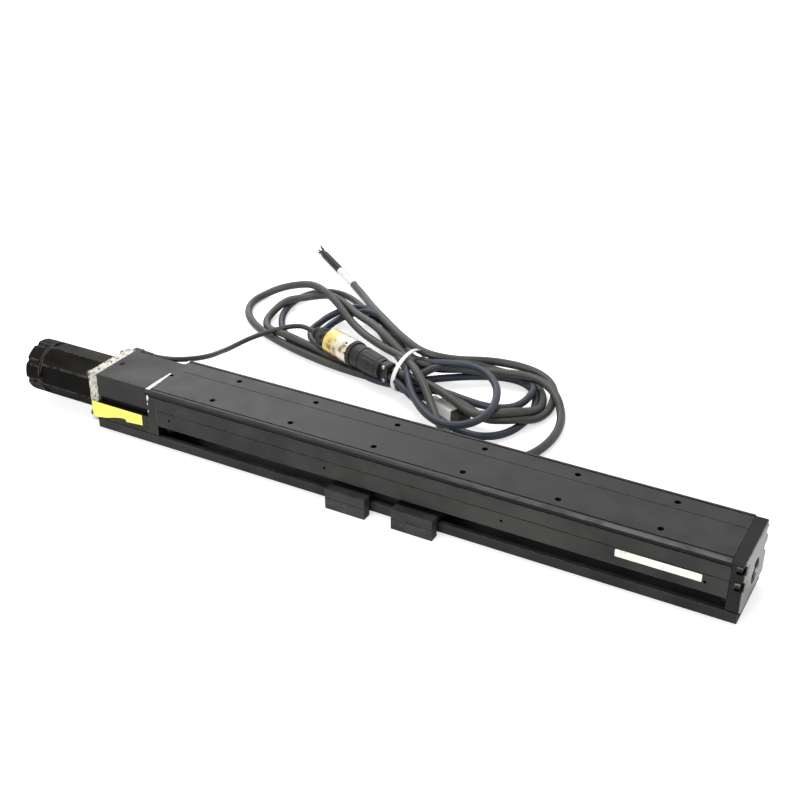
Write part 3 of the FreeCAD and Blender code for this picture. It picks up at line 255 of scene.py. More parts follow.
# Where a loop leaves and returns, its turn in degrees, its reach, width, lean and bow in mm, its pinch.
LOOPS = {
    "signal_left_wide": ("signal_2", "signal_3", 177, 263, -78, 35, -138),
    "signal_left_inner": ("signal_4", "signal_5", 170, 200, 41, 36, -62),
    "signal_left_small": ("signal_6", "signal_7", 155, 193, 37, 6, -19, 0.23),
    "power_left_inner": ("power_4", "power_5", 155, 281, 58, -12, -1, 0.68),
    "power_left_wide": ("power_2", "power_3", 189, 283, -69, 65, -163, 0.25),
    "signal_right_wide": ("signal_1", "signal_2", 1, 163, 68, -12, 3, 0.10),
    "signal_right_inner": ("signal_5", "signal_6", 21, 160, 37, -1, 0, 0.44),
    "power_right_middle": ("power_5", "power_6", -2, 176, 62, -28, 16),
    "power_right_inner": ("power_1", "power_2", 21, 171, 62, 9, -8),
    "power_right_wide": ("power_3", "power_4", -3, 208, 85, 6, -41),
    "signal_right_small": ("signal_3", "signal_4", -24, 146, 54, -10, 0),
}
# How many points of a leaf are taken out after its start, and the points put in for them.
BY_HAND = {
    "signal_left_small": (1, []),
    "signal_right_inner": (15, [
        (-26, 203, 14.5), (1, 213, 12), (27, 212, 9.5), (51, 213, 7), (75, 219, 6), (92, 232, 6),
        (98, 252, 6), (92, 273, 6), (75, 287, 6), (50, 289, 6.5), (14, 276, 8),
    ]),
    "power_right_middle": (3, [(-27, 203, 25.5), (-1, 199, 22.5), (26, 189, 19.5), (48, 181, 19.5)]),
    "power_right_inner": (2, [(-28, 192, 31.5), (-2, 190.5, 29), (22, 182, 26.5)]),
    "power_right_wide": (3, [(-15, 184, 41), (12, 157, 27), (30, 137, 19.5), (52, 121, 14)]),
    "signal_right_small": (15, [
        (-35, 190, 34), (-16, 163, 31), (4, 142, 29.5), (24, 126, 29), (44, 117, 29), (63, 120, 29),
        (78, 133, 30.5), (86, 154, 33), (83, 183, 35), (69, 216, 35), (47, 241, 34), (22, 253, 33),
        (-4, 254, 31),
    ]),
}
print("strands in the tie:", len(IN_TIE), "loops:", len(LOOPS))

# %% One leaf, and where two runs cross
LOOP_POINTS = 16
LOWEST = 5.6
FALL = 1.5
OVERSHOOT = 0.08
PARALLEL = 1e-9


def loop_points(leaves, returns, turn, reach, width, lean, bow, pinch=0.0):
    start = Vector(IN_TIE[leaves])
    end = Vector(IN_TIE[returns])
    out = Vector((cos(radians(turn)), sin(radians(turn))))
    across = Vector((-out.y, out.x))
    points = []
    for step in range(LOOP_POINTS):
        share = step / LOOP_POINTS
        away = sin(pi * share)
        tied = start.lerp(end, share)
        wide = sin(2 * pi * share) * (width + lean * cos(pi * share)) * (1 - pinch * (1 - away))
        swing = wide - bow * away ** 2
        place = Vector((TIE_X, tied.x)) + out * reach * away - across * swing
        up = LOWEST + (tied.y - LOWEST) * (1 - away) ** FALL
        points.append(Vector((place.x, place.y, up)))
    return points


def crossing(a, b, c, d):
    run = (b - a).xy
    other = (d - c).xy
    turn = run.cross(other)
    if abs(turn) < PARALLEL:
        return None
    gap = (c - a).xy
    on_run = gap.cross(other) / turn
    on_other = gap.cross(run) / turn
    if min(on_run, on_other) < -OVERSHOOT or max(on_run, on_other) > 1 + OVERSHOOT:
        return None
    return on_run, on_other


print("points to a leaf:", LOOP_POINTS)

# %% Lay the loops one on another
CABLE_STEP = 9.6
TIED_REACH = 22
SLOPE = 0.32
SWEEPS = 3
CONNECTOR_START = Vector((-165.7, 232.7, 31.0))
CONNECTOR_TURN = radians(-20.5)
CONNECTOR_AXIS = Vector((cos(CONNECTOR_TURN), sin(CONNECTOR_TURN), 0))
CONNECTOR_HALF = 28
CONNECTOR_FROM = -36
CONNECTOR_TO = 112
UNDER_CONNECTOR = 8.6


def lift_over(points, laid):
    for a, b in zip(points, points[1:]):
        for c, d in laid:
            met = crossing(a, b, c, d)
            if met is None or abs(a.lerp(b, met[0]).x - TIE_X) < TIED_REACH:
                continue
            under = c.lerp(d, met[1]).z
            if abs(a.lerp(b, met[0]).z - under) < CABLE_STEP:
                b.z = max(b.z, under + CABLE_STEP)
                if a is not points[0]:
                    a.z = max(a.z, under + CABLE_STEP)


def ease(points):
    for before, here in zip(points, points[1:-1]):
        here.z = max(here.z, before.z - SLOPE * (here - before).xy.length)
    for after, here in zip(points[:1:-1], points[-2:0:-1]):
        here.z = max(here.z, after.z - SLOPE * (here - after).xy.length)


def stay_low(points):
    for here in points[1:-1]:
        gap = (here - CONNECTOR_START).xy
        beside = abs(gap.cross(CONNECTOR_AXIS.xy)) > CONNECTOR_HALF
        within_ends = CONNECTOR_FROM < gap.dot(CONNECTOR_AXIS.xy) < CONNECTOR_TO
        if within_ends and not beside:
            here.z = min(here.z, UNDER_CONNECTOR)


loops = {}
laid = []
for name, shape in LOOPS.items():
    points = loop_points(*shape) + [Vector((TIE_X, *IN_TIE[shape[1]]))]
    if name in BY_HAND:
        replaced, by_hand = BY_HAND[name]
        points[1:1 + replaced] = [Vector(place) for place in by_hand]
    for sweep in range(SWEEPS):
        lift_over(points[:-1], laid)
        ease(points)
        stay_low(points)
    loops[name] = points[:-1]
    laid += [(a.copy(), b.copy()) for a, b in zip(points, points[1:])]
print("highest strand", round(max(p.z for points in loops.values() for p in points), 1), "mm")

# %% Power cable
POWER_ORDER = ("power_right_inner", "power_left_wide", "power_right_wide", "power_left_inner",
               "power_right_middle")
TAIL_ROUTE = [
    (-12, 264, 29), (-46, 248, 37), (-86, 271, 38.5), (-117, 298, 35), (-136, 317, 31.5),
    (-156, 337.5, 27), (-190, 376, 16), (-222, 414, 6), (-262, 449, 5.6), (-306, 484, 5.6),
]


def route_through(start, order):
    """The loops one after another, with the start in the shell instead of the first place in the tie."""
    strung = [point for name in order for point in loops[name]]
    return [Vector(start)] + strung[1:]


power_route = route_through((-58, 197.5, 33.5), POWER_ORDER)
power_route[-1:] = [Vector(place) for place in TAIL_ROUTE]
power_cable = cord_curve("power_cable_cord", power_route, POWER_RADIUS)
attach(power_cable, "base")
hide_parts("cable_hank", "power_cable_tail")
print("power cable", round(length_along(power_cable), 3), "m")

# %% Signal cable
SIGNAL_ORDER = ("signal_right_wide", "signal_left_wide", "signal_right_small", "signal_left_inner",
                "signal_right_inner", "signal_left_small")
TO_PLUG = [(TIE_X, *IN_TIE["signal_7"]), (-28, 202, 6), (-6, 197.5, 6)]
signal_route = route_through((-60, 191.5, 28), SIGNAL_ORDER)
signal_route += [Vector(place) for place in TO_PLUG]
signal_cable = cord_curve("signal_cable_cord", signal_route, SIGNAL_RADIUS)
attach(signal_cable, "base")
print("signal cable", round(length_along(signal_cable), 3), "m")

# %% [markdown]
# ## Shared surface effects
# Nearly every surface here needs the same few things: a fine grain, a paler line along worn edges (a
# painted highlight on the motor's ribs), dust on what faces up (on the coupling housing also a painted
# lighter top), hair scratches and painted shade in corners. Each could be drawn again in every material. A
# node group draws it once, with named inputs, and each finish places the group with its own values. The
# groups put out only masks and heights, so the shader itself stays in the material.


# %% Small node helpers
def effect(name, inputs, outputs):
    group = bpy.data.node_groups.new(name, "ShaderNodeTree")
    for title, value in inputs.items():
        socket = group.interface.new_socket(title, in_out="INPUT", socket_type="NodeSocketFloat")
        socket.default_value = value
    for title in outputs:
        group.interface.new_socket(title, in_out="OUTPUT", socket_type="NodeSocketFloat")
    given = group.nodes.new("NodeGroupInput").outputs
    result = group.nodes.new("NodeGroupOutput").inputs
    return group, given, result


def times(tree, first, *others):
    for other in others:
        first = reckon(tree, "MULTIPLY", first, other)
    return first


def spread(tree, value, low, high, to_low=0.0, to_high=1.0):
    made = node(tree, "MapRange")
    for socket, amount in zip(made.inputs, (value, low, high, to_low, to_high)):
        feed(tree, socket, amount)
    return made.outputs[0]


def object_place(tree):
    return node(tree, "TexCoord").outputs["Object"]


def parts_of(tree, vector):
    made = node(tree, "SeparateXYZ")
    link(tree, vector, made.inputs[0])
    return made.outputs


def noise(tree, scale, detail=2.0, stretch=None, turn=(0, 0, 0)):
    place = object_place(tree)
    if stretch:
        mapping = node(tree, "Mapping")
        mapping.inputs["Scale"].default_value = stretch
        mapping.inputs["Rotation"].default_value = turn
        link(tree, place, mapping.inputs["Vector"])
        place = mapping.outputs[0]
    made = node(tree, "TexNoise")
    link(tree, place, made.inputs["Vector"])
    feed(tree, made.inputs["Scale"], scale)
    made.inputs["Detail"].default_value = detail
    return made.outputs["Fac"]


print("helpers ready")

# %% Grain group
CLOUDS_PER_GRAIN = 0.02
tree, given, result = effect("fine grain", {"Size": 0.0006}, ("Height", "Shade"))
per_metre = reckon(tree, "DIVIDE", 1.0, given["Size"])
link(tree, noise(tree, per_metre), result["Height"])
wide = noise(tree, times(tree, per_metre, CLOUDS_PER_GRAIN), detail=6.0)
link(tree, spread(tree, wide, low=0.32, high=0.68), result["Shade"])
grain_group = tree
print(tree.name, len(tree.nodes), "nodes")

# %% Worn and highlit edge group
STILL_FLAT = 0.05
tree, given, result = effect("worn and highlit edges", {"Width": 0.0006, "Amount": 0.5, "Corner": 0.1}, ("Mask",))
softened = node(tree, "Bevel", samples=4)
link(tree, given["Width"], softened.inputs["Radius"])
facing = node(tree, "NewGeometry")
agree = node(tree, "VectorMath", operation="DOT_PRODUCT")
link(tree, softened.outputs[0], agree.inputs[0])
link(tree, facing.outputs["Normal"], agree.inputs[1])
sharp = reckon(tree, "SUBTRACT", 1.0, given["Corner"])
blunt = reckon(tree, "SUBTRACT", 1.0, times(tree, given["Corner"], STILL_FLAT))
corner = spread(tree, agree.outputs["Value"], blunt, sharp)
patchy = spread(tree, noise(tree, scale=140.0, detail=4.0), low=0.38, high=0.62)
link(tree, times(tree, corner, patchy, given["Amount"]), result["Mask"])
edge_group = tree
print(tree.name, len(tree.nodes), "nodes")

# %% Dust and top light group
UPWARD_ONLY = 3.0
CLOUD_SHARE = 0.5
SPECK_SHARE = 0.6
# Pale dust on what faces up; on the coupling housing it also stands for painted light that makes the top
# lighter.
tree, given, result = effect("settled dust and top light", {"Amount": 0.2}, ("Mask",))
normal = parts_of(tree, node(tree, "NewGeometry").outputs["Normal"])
upward = reckon(tree, "POWER", reckon(tree, "MAXIMUM", normal["Z"], 0.0), UPWARD_ONLY)
clouds = spread(tree, noise(tree, scale=22.0, detail=8.0), low=0.35, high=0.75)
specks = spread(tree, noise(tree, scale=900.0, detail=1.0), low=0.72, high=0.78)
lying = reckon(tree, "ADD", times(tree, clouds, CLOUD_SHARE), times(tree, specks, SPECK_SHARE))
link(tree, times(tree, lying, upward, given["Amount"]), result["Mask"])
dust_and_top_light_group = tree
print(tree.name, len(tree.nodes), "nodes")

# %% Scratch group
HAIR = (14, 1500, 1500)
HAIR_ANGLES = (0.15, -0.5, 1.2)
HAIR_TILT = 0.4
tree, given, result = effect("hair scratches", {"Amount": 0.3}, ("Mask",))
lines = []
for angle in HAIR_ANGLES:
    drawn = noise(tree, scale=1.0, detail=1.0, stretch=HAIR, turn=(0, angle * HAIR_TILT, angle))
    lines.append(spread(tree, drawn, low=0.735, high=0.76))
most = reckon(tree, "MAXIMUM", reckon(tree, "MAXIMUM", lines[0], lines[1]), lines[2])
where = spread(tree, noise(tree, scale=9.0), low=0.42, high=0.6)
link(tree, times(tree, most, where, given["Amount"]), result["Mask"])
scratch_group = tree
print(tree.name, len(tree.nodes), "nodes")

# %% Corner shade group
# Painted shade: occlusion darkens corners, grooves and recesses towards a near-black colour.
tree, given, result = effect("painted corner shade", {"Reach": 0.008, "Amount": 0.8}, ("Mask",))
openness = node(tree, "AmbientOcclusion", samples=6)
link(tree, given["Reach"], openness.inputs["Distance"])
closed_in = spread(tree, openness.outputs["AO"], low=0.85, high=0.35)
link(tree, times(tree, closed_in, given["Amount"]), result["Mask"])
corner_shade_group = tree
print(tree.name, len(tree.nodes), "nodes")

# %% [markdown]
# ## One recipe for every finish
# A finish starts with two close tones that the grain mixes, so nothing is one flat colour. Wear, dust and
# scratches go over it as layers, each a mix between the colour below and its own colour. Painted corner
# shade and painted shade in given bands go over them the same way. The edge layer also paints highlights and
# the dust layer a lighter top where a finish asks for it. The same grain drives the roughness and a shallow
# bump. The call also names the solids that wear the finish.


# %% Layers of a finish
def place_effect(tree, group, **values):
    made = node(tree, "Group", node_tree=group)
    for title, value in values.items():
        made.inputs[title].default_value = value
    return made


def blended(tree, mask, below, above):
    made = node(tree, "Mix", data_type="RGBA")
    for socket, value in zip((made.inputs[0], made.inputs[6], made.inputs[7]), (mask, below, above)):
        feed(tree, socket, value if isinstance(value, bpy.types.NodeSocket) else (*value, 1.0))
    return made.outputs[2]


def layer_over(finish, mask, colour):
    tree = finish.node_tree
    target = tree.nodes["Principled BSDF"].inputs["Base Color"]
    link(tree, blended(tree, mask, target.links[0].from_socket, colour), target)


def add_height(finish, height, depth):
    tree = finish.node_tree
    target = tree.nodes["Principled BSDF"].inputs["Normal"]
    bump = node(tree, "Bump")
    bump.inputs["Distance"].default_value = depth * MM
    link(tree, height, bump.inputs["Height"])
    if target.is_linked:
        link(tree, target.links[0].from_socket, bump.inputs["Normal"])
    link(tree, bump.outputs[0], target)


def layer_effect(finish, colour, group, **values):
    layer_over(finish, place_effect(finish.node_tree, group, **values).outputs["Mask"], colour)


def mottle(finish, scale, detail, cut, colour, most=1.0):
    tree = finish.node_tree
    layer_over(finish, spread(tree, noise(tree, scale, detail), *cut, to_high=most), colour)


def within(tree, value, low, high):
    over = reckon(tree, "GREATER_THAN", value, low * MM)
    under = reckon(tree, "LESS_THAN", value, high * MM)
    return times(tree, over, under)


def band_of(finish, low_y, high_y, low_z, high_z):
    """A mask of what lies between two distances from the middle and two heights, in mm."""
    tree = finish.node_tree
    place = parts_of(tree, object_place(tree))
    sides = within(tree, reckon(tree, "ABSOLUTE", place["Y"]), low_y, high_y)
    return times(tree, sides, within(tree, place["Z"], low_z, high_z))


print("layer helpers ready")

# %% The finish recipe
DUST_AND_TOP_LIGHT = (0.30, 0.29, 0.27)
# Near-black colour of the painted corner shade.
CORNER_SHADE = (0.0025, 0.0023, 0.002)
SHADE = (0.0015, 0.0015, 0.0015)


def make_finish(name, tones, rough, metal=0.0, grain=0.5, depth=0.05, shine=0.5, wear_and_highlight=None, pale_edge_corner=0.1,
                dust_and_top_light=None, dust_and_top_light_colour=DUST_AND_TOP_LIGHT, scratch=None, corner_shade=None, shaded=(), on=()):
    finish = bpy.data.materials.new(name)
    finish.use_nodes = True
    tree = finish.node_tree
    shader = tree.nodes["Principled BSDF"]
    shader.inputs["Metallic"].default_value = metal
    shader.inputs["Specular IOR Level"].default_value = shine
    grained = place_effect(tree, grain_group, Size=grain * MM)
    link(tree, blended(tree, grained.outputs["Shade"], *tones), shader.inputs["Base Color"])
    link(tree, spread(tree, grained.outputs["Shade"], 0.0, 1.0, *rough), shader.inputs["Roughness"])
    add_height(finish, grained.outputs["Height"], depth)
    if scratch:
        colour, amount = scratch
        layer_effect(finish, colour, scratch_group, Amount=amount)
    if dust_and_top_light:
        layer_effect(finish, dust_and_top_light_colour, dust_and_top_light_group, Amount=dust_and_top_light)
    if wear_and_highlight:
        colour, width, amount = wear_and_highlight
        layer_effect(finish, colour, edge_group, Width=width * MM, Amount=amount, Corner=pale_edge_corner)
    # Painted shade in corners and recesses.
    if corner_shade:
        reach, amount = corner_shade
        layer_effect(finish, CORNER_SHADE, corner_shade_group, Reach=reach * MM, Amount=amount)
    for band in shaded:
        layer_over(finish, band_of(finish, *band), SHADE)
    for solid in on:
        for slot in nodes[solid].material_slots:
            slot.link = "DATA"
            slot.material = finish
    return finish


print("recipe ready")

# %% [markdown]
# ## The black metal
# The body is black anodised aluminium, the cover a painted sheet, the coupling housing a rougher casting,
# and the motor a deeper black. One black for all of them would melt the shapes together, so they differ in
# tone, in gloss and in how pale their edges are: worn on most, a painted highlight along the motor's ribs.

# %% Black body
CHANNEL_INSIDE = (-1, 38.5, 6, 69.5)
UNDER_BEAD = (39.2, 43, 40, 69.2)
BEAD = (39.2, 43, 69.2, 73)
WALL_FACE = (38.6, 39.2, 28, 62)
body_black = make_finish(
    "satin black body", ((0.014, 0.014, 0.0135), (0.028, 0.028, 0.027)), (0.34, 0.50), depth=0.03,
    shine=0.25, wear_and_highlight=((0.20, 0.20, 0.195), 0.6, 0.6), dust_and_top_light=0.05, scratch=((0.07, 0.07, 0.068), 0.25),
    corner_shade=(12, 0.95), shaded=(CHANNEL_INSIDE, UNDER_BEAD), on=("base_channel", "drive_end_block"))
tree = body_black.node_tree
# The upper bead is lighter towards the right end in rubbed patches: partly wear, partly a painted highlight.
to_the_end = spread(tree, parts_of(tree, object_place(tree))["X"], low=0.05, high=0.30)
highlight_and_rub = times(tree, to_the_end, spread(tree, noise(tree, scale=60.0, detail=4.0), low=0.35, high=0.6))
bead = band_of(body_black, *BEAD)
layer_over(body_black, times(tree, bead, highlight_and_rub), (0.085, 0.085, 0.082))
# A painted reflection: soft lighter patches on the front wall above the slot.
painted_reflection = spread(tree, noise(tree, scale=7.0, detail=3.0), low=0.45, high=0.70, to_high=0.6)
wall = band_of(body_black, *WALL_FACE)
layer_over(body_black, times(tree, painted_reflection, wall), (0.055, 0.053, 0.047))
print("finishes so far:", len(bpy.data.materials))

# %% Black end cap, cover and housing
COVER_INSIDE = (-1, 30, 5.5, 40)
HOUSING_INSIDE = (-1, 38.2, 35.5, 42.8)
make_finish(
    "dull black end cap", ((0.007, 0.007, 0.0065), (0.016, 0.016, 0.0155)), (0.42, 0.56), depth=0.04,
    shine=0.15, wear_and_highlight=((0.16, 0.16, 0.155), 0.5, 0.7), dust_and_top_light=0.04, scratch=((0.08, 0.08, 0.077), 0.3),
    corner_shade=(5, 0.8), on=("end_cap",))
make_finish(
    "black painted sheet", ((0.011, 0.011, 0.010), (0.024, 0.023, 0.022)), (0.30, 0.44), grain=0.8,
    shine=0.3, wear_and_highlight=((0.22, 0.22, 0.21), 0.5, 0.8), dust_and_top_light=0.10, scratch=((0.08, 0.08, 0.077), 0.25),
    corner_shade=(8, 0.9), shaded=(COVER_INSIDE,), on=("bottom_cover",))
# The dust layer is raised here so the top reads lighter than the darker front: partly dust, partly painted
# top light.
make_finish(
    "black cast housing", ((0.011, 0.011, 0.0108), (0.024, 0.0235, 0.023)), (0.42, 0.58), grain=0.7,
    depth=0.10, shine=0.25, wear_and_highlight=((0.24, 0.23, 0.215), 0.5, 0.6), dust_and_top_light=0.18,
    scratch=((0.10, 0.096, 0.09), 0.25), corner_shade=(8, 0.95), shaded=(HOUSING_INSIDE,),
    on=("coupling_hood", "coupling_cradle"))
print("finishes so far:", len(bpy.data.materials))

# %% Black slider, risers and motor
SLIDER_UNDER = (-1, 40.5, 0, 60)
make_finish(
    "black slider", ((0.016, 0.0155, 0.016), (0.034, 0.033, 0.034)), (0.40, 0.55), shine=0.35,
    wear_and_highlight=((0.18, 0.17, 0.17), 0.5, 0.6), dust_and_top_light=0.12, scratch=((0.09, 0.085, 0.085), 0.25), corner_shade=(5, 0.8),
    shaded=(SLIDER_UNDER,), on=("slider_saddle", "riser_screws"))
riser_black = make_finish(
    "speckled riser", ((0.018, 0.0165, 0.017), (0.038, 0.035, 0.036)), (0.44, 0.60), grain=0.4, depth=0.08,
    shine=0.35, wear_and_highlight=((0.20, 0.19, 0.19), 0.4, 0.5), dust_and_top_light=0.12, corner_shade=(3, 0.9),
    on=("riser_front_left", "riser_front_right", "riser_back_left", "riser_back_right"))
mottle(riser_black, scale=620.0, detail=2.0, cut=(0.62, 0.70), colour=(0.15, 0.14, 0.145), most=0.7)
# The pale lines along the motor's ribs are a painted highlight, drawn by the edge layer with a very low
# corner threshold.
make_finish(
    "black motor paint", ((0.0026, 0.0023, 0.0020), (0.0065, 0.0060, 0.0054)), (0.46, 0.62), grain=0.6,
    depth=0.08, shine=0.05, wear_and_highlight=((0.15, 0.14, 0.13), 0.8, 2.2), pale_edge_corner=0.004, dust_and_top_light=0.18,
    scratch=((0.04, 0.037, 0.034), 0.25), corner_shade=(5, 0.7), on=("motor_case", "motor_rear_cap"))
print("finishes so far:", len(bpy.data.materials))

# %% [markdown]
# ## Bare metal
# The motor flange is a pale casting full of dark pits, so its speckles are a noise cut off hard. The end
# plate is brushed and greyer. Screws, rails and bearings are bright steel, and the ball screw carries a
# real helix: the angle round its axis plus the distance along it gives a height that winds like a thread.

# %% Flange and end plate
BRUSHED_UP = (900, 900, 30)
BRUSH_DEPTH = 0.02
flange_pale = make_finish(
    "speckled cast flange", ((0.40, 0.38, 0.335), (0.72, 0.695, 0.62)), (0.45, 0.65), metal=0.35,
    depth=0.12, wear_and_highlight=((0.80, 0.79, 0.75), 0.4, 0.5), on=("motor_flange", "motor_adapter_plate"))
mottle(flange_pale, scale=90.0, detail=5.0, cut=(0.50, 0.64), colour=(0.17, 0.155, 0.13), most=0.7)
mottle(flange_pale, scale=330.0, detail=3.0, cut=(0.56, 0.63), colour=(0.06, 0.053, 0.043))
plate_grey = make_finish(
    "brushed end plate", ((0.24, 0.24, 0.232), (0.40, 0.40, 0.388)), (0.28, 0.44), metal=1.0, depth=0.02,
    wear_and_highlight=((0.72, 0.72, 0.70), 0.3, 0.6), on=("end_plate",))
brushing = noise(plate_grey.node_tree, scale=1.0, detail=2.0, stretch=BRUSHED_UP)
add_height(plate_grey, brushing, BRUSH_DEPTH)
print("finishes so far:", len(bpy.data.materials))

# %% Steel, alloy and screws
STEEL_SOLIDS = (
    "ball_nut", "guide_rail_front", "guide_rail_back", "guide_block_front_left", "guide_block_front_right",
    "guide_block_back_left", "guide_block_back_right", "bearing_cartridge", "fixed_bearing_outer_rings",
    "fixed_bearing_inner_rings", "motor_bearing_outer_rings", "motor_bearing_inner_rings", "motor_shaft",
    "motor_rotor", "screw_lock_nut",
)
make_finish(
    "ground steel", ((0.42, 0.42, 0.41), (0.60, 0.60, 0.59)), (0.18, 0.34), metal=1.0, grain=0.4,
    depth=0.01, scratch=((0.72, 0.72, 0.71), 0.5), corner_shade=(25, 0.9), on=STEEL_SOLIDS)
make_finish(
    "turned coupling alloy", ((0.50, 0.50, 0.49), (0.68, 0.68, 0.67)), (0.26, 0.40), metal=1.0, depth=0.02,
    on=("coupling_hub_motor", "coupling_hub_screw", "support_bearing_outer_ring",
        "support_bearing_inner_ring"))
screw_bright = make_finish(
    "bright cap screws", ((0.46, 0.455, 0.44), (0.66, 0.655, 0.64)), (0.20, 0.36), metal=1.0, grain=0.3,
    depth=0.02, wear_and_highlight=((0.80, 0.80, 0.79), 0.3, 0.5), on=("rail_screws", "nut_screws", "cover_screws"))
make_finish(
    "dulled cap screws", ((0.025, 0.0245, 0.023), (0.075, 0.074, 0.07)), (0.26, 0.42), metal=1.0, grain=0.3,
    depth=0.03, wear_and_highlight=((0.70, 0.70, 0.69), 0.3, 0.7), corner_shade=(3, 0.8),
    on=("end_cap_screws", "motor_flange_screws"))
screw_black = make_finish(
    "black oxide screws", ((0.010, 0.010, 0.0095), (0.035, 0.034, 0.032)), (0.30, 0.45), metal=0.6,
    grain=0.3, depth=0.02, wear_and_highlight=((0.20, 0.20, 0.19), 0.3, 0.6))
print("finishes so far:", len(bpy.data.materials))

# %% Ball screw thread
SCREW_LEVEL = 0.039
SCREW_LEAD = 0.010
THREAD_DEPTH = 1.2
thread_steel = make_finish(
    "ball screw thread", ((0.40, 0.40, 0.39), (0.58, 0.58, 0.57)), (0.16, 0.30), metal=1.0, grain=0.4,
    depth=0.01, on=("ball_screw_shaft",))
tree = thread_steel.node_tree
place = parts_of(tree, object_place(tree))
height_over_axis = reckon(tree, "SUBTRACT", place["Z"], SCREW_LEVEL)
angle_round = reckon(tree, "ARCTAN2", height_over_axis, place["Y"])
leads_along = reckon(tree, "DIVIDE", place["X"], SCREW_LEAD)
turns = reckon(tree, "ADD", leads_along, reckon(tree, "DIVIDE", angle_round, 2 * pi))
across_land = reckon(tree, "PINGPONG", turns, 0.5)
groove = spread(tree, across_land, low=0.10, high=0.24)
add_height(thread_steel, groove, THREAD_DEPTH)
# Painted shade: the groove bottoms of the thread are coloured darker.
layer_over(thread_steel, reckon(tree, "SUBTRACT", 1.0, groove), (0.20, 0.195, 0.18))
print("thread lead", SCREW_LEAD / MM, "mm")

# %% [markdown]
# ## Rubber, plastic and cable jackets
# The jackets are soft plastic: even in colour, with a dull sheen, small pulls along their length and grime in
# patches. The power cable is a warm grey and the signal cable a blue grey. Moulded black and white pieces
# have a finer grain and a gloss that varies with handling.

# %% Soft and moulded finishes
make_finish(
    "black rubber", ((0.008, 0.008, 0.008), (0.020, 0.020, 0.0195)), (0.58, 0.78), depth=0.06, dust_and_top_light=0.20,
    on=("guide_block_seals", "travel_bumpers", "coupling_spider", "lead_boot"))
make_finish(
    "varnished winding", ((0.22, 0.075, 0.025), (0.42, 0.17, 0.06)), (0.28, 0.45), metal=0.7, depth=0.2,
    on=("motor_stator",))
make_finish(
    "encoder disc", ((0.16, 0.16, 0.17), (0.24, 0.24, 0.25)), (0.30, 0.42), grain=0.4, depth=0.02,
    on=("encoder_disc",))
moulded_black = make_finish(
    "moulded black", ((0.008, 0.008, 0.008), (0.024, 0.0235, 0.023)), (0.28, 0.48), shine=0.32,
    wear_and_highlight=((0.13, 0.13, 0.125), 0.5, 0.6), dust_and_top_light=0.12, scratch=((0.09, 0.09, 0.085), 0.4), corner_shade=(3, 0.7),
    on=("lead_receptacle", "plug_back_shell", "plug_cable_clamp"))
make_finish(
    "shrunk tubing", ((0.003, 0.003, 0.003), (0.010, 0.010, 0.0096)), (0.34, 0.52), grain=1.4, depth=0.25,
    shine=0.16, dust_and_top_light=0.05, on=("tail_heat_shrink",))
make_finish(
    "white plastic", ((0.70, 0.69, 0.655), (0.84, 0.835, 0.81)), (0.34, 0.50), depth=0.03, dust_and_top_light=0.25,
    dust_and_top_light_colour=(0.45, 0.42, 0.36), on=("cable_tie", "tail_marker_sleeve"))
make_finish(
    "cream plug hood", ((0.90, 0.88, 0.81), (0.97, 0.96, 0.92)), (0.34, 0.50), depth=0.03,
    wear_and_highlight=((0.55, 0.50, 0.40), 0.5, 0.4), scratch=((0.40, 0.37, 0.30), 0.5), on=("signal_plug",))
print("finishes so far:", len(bpy.data.materials))

# %% Cable jackets
DARKENED = 0.4


def jacket(cable, name, tones):
    made = make_finish(name, tones, (0.32, 0.48), grain=1.1, depth=0.06, shine=0.35, dust_and_top_light=0.10,
                       scratch=((0.16, 0.16, 0.155), 0.25), corner_shade=(7, 0.6))
    dark = tuple(DARKENED * part for part in tones[0])
    mottle(made, scale=45.0, detail=5.0, cut=(0.55, 0.75), colour=dark, most=0.5)
    cable.data.materials.append(made)


jacket(motor_lead, "black lead jacket", ((0.016, 0.016, 0.0155), (0.034, 0.034, 0.033)))
jacket(power_cable, "warm grey jacket", ((0.036, 0.037, 0.033), (0.060, 0.061, 0.054)))
jacket(signal_cable, "blue grey jacket", ((0.014, 0.020, 0.031), (0.027, 0.036, 0.052)))
print("finishes so far:", len(bpy.data.materials))

# %% [markdown]
# ## The gold ring
# The coupling ring is plated. Towards the motor lead the plating is yellow, the other half has gone pale, and
# brown stains run round it. The distance along the ring's own axis is a dot product, so the change of colour
# follows the ring wherever it points and stays in place when the ring turns.

# %% Plated ring
RING_START = CONNECTOR_START * MM
ring_axis = CONNECTOR_AXIS
ring_side = Vector((-ring_axis.y, ring_axis.x, 0))
plated = make_finish(
    "worn gold plating", ((0.80, 0.58, 0.18), (0.94, 0.75, 0.32)), (0.20, 0.38), metal=1.0, grain=0.8,
    depth=0.03, wear_and_highlight=((0.86, 0.80, 0.66), 0.5, 0.7), on=("connector_ring",))
tree = plated.node_tree
from_start = node(tree, "VectorMath", operation="SUBTRACT")
link(tree, object_place(tree), from_start.inputs[0])
from_start.inputs[1].default_value = RING_START
along_ring = node(tree, "VectorMath", operation="DOT_PRODUCT")
link(tree, from_start.outputs[0], along_ring.inputs[0])
along_ring.inputs[1].default_value = ring_axis
paler = spread(tree, along_ring.outputs["Value"], low=0.016, high=0.024, to_high=0.85)
layer_over(plated, paler, (0.93, 0.88, 0.77))
mottle(plated, scale=75.0, detail=5.0, cut=(0.52, 0.66), colour=(0.24, 0.135, 0.045))
mottle(plated, scale=210.0, detail=3.0, cut=(0.64, 0.70), colour=(0.09, 0.05, 0.018))
print("ring axis", [round(v, 3) for v in ring_axis])

# %% [markdown]
# ## Tape, label and white patches
# A strip of torn yellow tape sits on the front of the coupling housing, a blank cream label on the front
# wall, and a white line with small white chips lies at the housing joint. All are thin sheets: an outline on
# one plane, given a little thickness. Only the tape turns a corner, so it is a row of columns.

